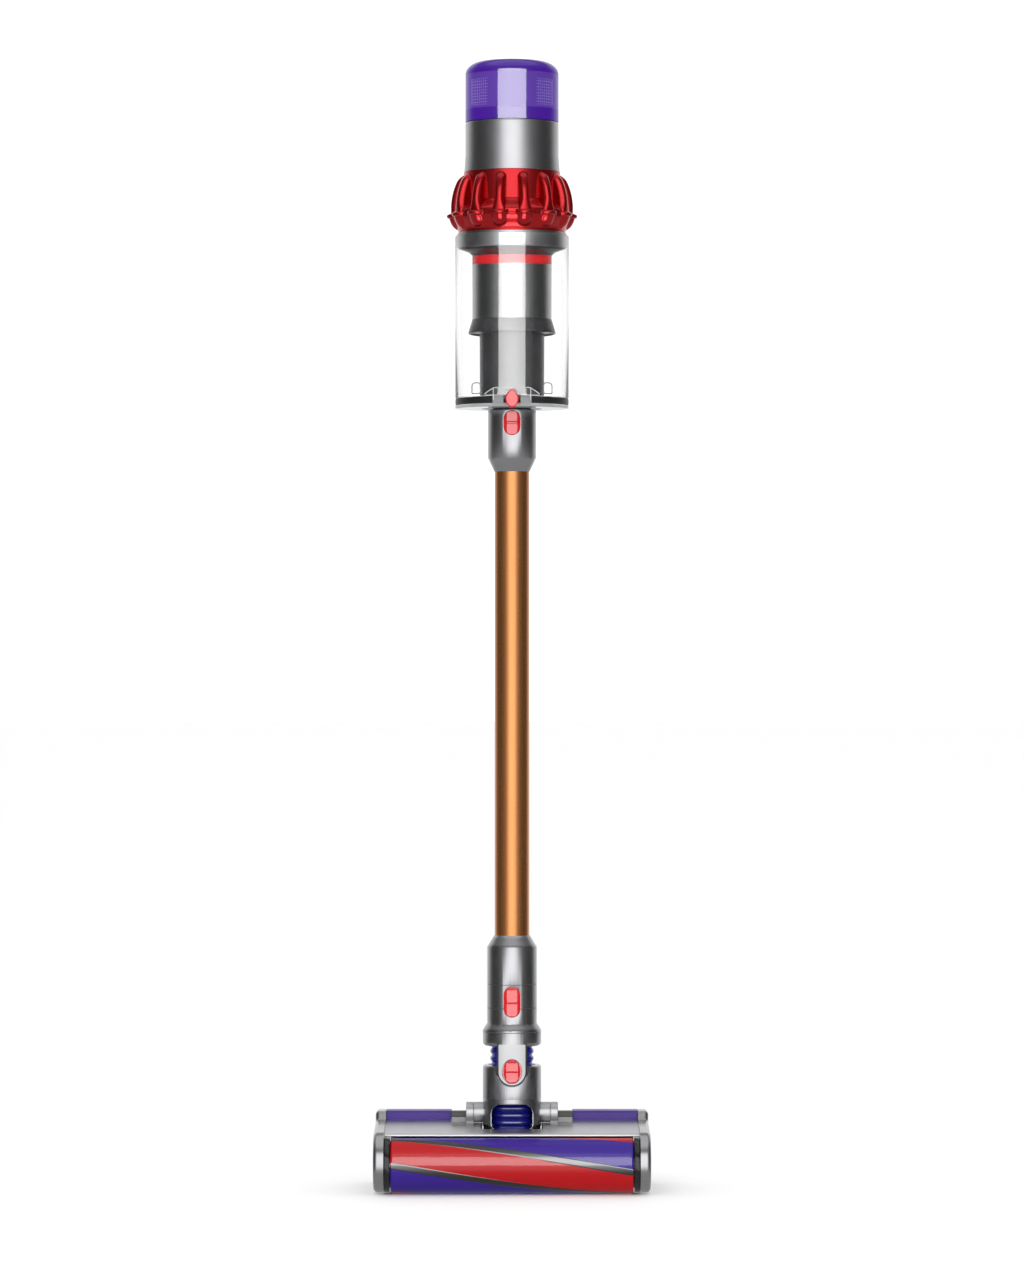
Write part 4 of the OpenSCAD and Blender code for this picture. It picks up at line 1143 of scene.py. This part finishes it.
def make_grip():
    """The handle: an oval beam from the motor housing to the battery, thicker at both ends."""
    a, b = low("grip"), high("grip")
    start, end = 44.0, b.y - 0.2
    middle = (a.z + b.z) / 2 - 3
    squareness, columns, rows = 2 / 2.5, 64, 48
    verts = []
    for i in range(rows + 1):
        t = i / rows
        y = start + (end - start) * t
        waist = math.sin(math.pi * min(1.0, max(0.0, (t - 0.08) / 0.84))) ** 0.8
        half_w = 18.5 - 4.3 * waist
        half_up = 15.0 + 9.0 * smooth((t - 0.72) / 0.28)
        half_down = 20.5 - 5.0 * waist
        for x, z in oval(half_w, 1.0, squareness, columns):
            verts.append((x, y, middle + z * (half_up if z > 0 else half_down)))
    faces = strip_faces(rows + 1, columns) + end_faces(rows + 1, columns)
    piece("handle", verts, faces, "dark_plastic", "machine", ["grip"])


def make_slider_pad():
    """The flat pad at the rear of the motor housing that carries the power slider."""
    a, b = low("power_slider"), high("power_slider")
    half_w, margin = 17, 3
    foot, top = a.z - margin, b.z + margin
    outline = rounded([(-half_w, foot, 4), (half_w, foot, 4), (half_w, top, 4), (-half_w, top, 4)])
    pad = tower(outline, [(44, 0), (a.y + 1.4, 0), (a.y + 2.0, 0.5)], rearward)
    piece("slider_pad", *pad, "dark_plastic", "machine", slot="nickel")


def make_seams():
    """Fine joint lines round the lower cuff."""
    foot, half_h = low("lower_cuff").z, 0.28
    inner, outer = 25.8, 26.43
    for name, z in (("seam_low", foot + 25.2), ("seam_high", foot + 50.4)):
        line = [(inner, z - half_h), (outer, z - half_h), (outer, z + half_h), (inner, z + half_h)]
        piece(name, *turned(rounded(line, 0.05)), "dark_plastic", "wand", slot="nickel")


make_filter()
make_motor()
make_slider_pad()
make_seams()
make_cyclones()
make_bin_wall()
make_latch_hood()
make_bin_edges()
make_door_ears()
make_seal()
make_door_blocks()
make_latch()
make_bin_inside()
make_button("lower_button", half_w=9.1, waist=9.1, flat=5.2, rib=1.6)
make_button("upper_button", half_w=9.1, waist=9.1, flat=5.2, rib=1.6)
make_button("neck_button", half_w=9.9, waist=12.4, flat=6.0, rib=0.9)
make_hose("hose_low", "hose_lower", 9, 23.9)
make_hose("hose_high", "hose_upper", 6, 23.2, drop=9)
make_tongue()
make_yoke_front()
make_hinges()
make_plate_trim()
make_roller()
make_end_caps()
make_battery()
make_grip()

for node, width in (
    ("yoke", 0.7), ("neck_collar", 0.5), ("lower_cuff", 0.3), ("upper_cuff", 0.3), ("hinge_blocks", 0.5),
    ("top_plate", 0.35), ("rear_strips", 0.6), ("head_housing", 0.6), ("soleplate", 0.4), ("spine", 0.8),
    ("wheel_left", 0.8), ("wheel_right", 0.8), ("end_rings", 0.8), ("coin_lock", 0.3), ("bin_lever", 0.8),
    ("power_slider", 0.6), ("trigger", 0.6), ("battery_screws", 0.4), ("charge_port", 0.3), ("bin_door", 0.5),
):
    soften(node, width)
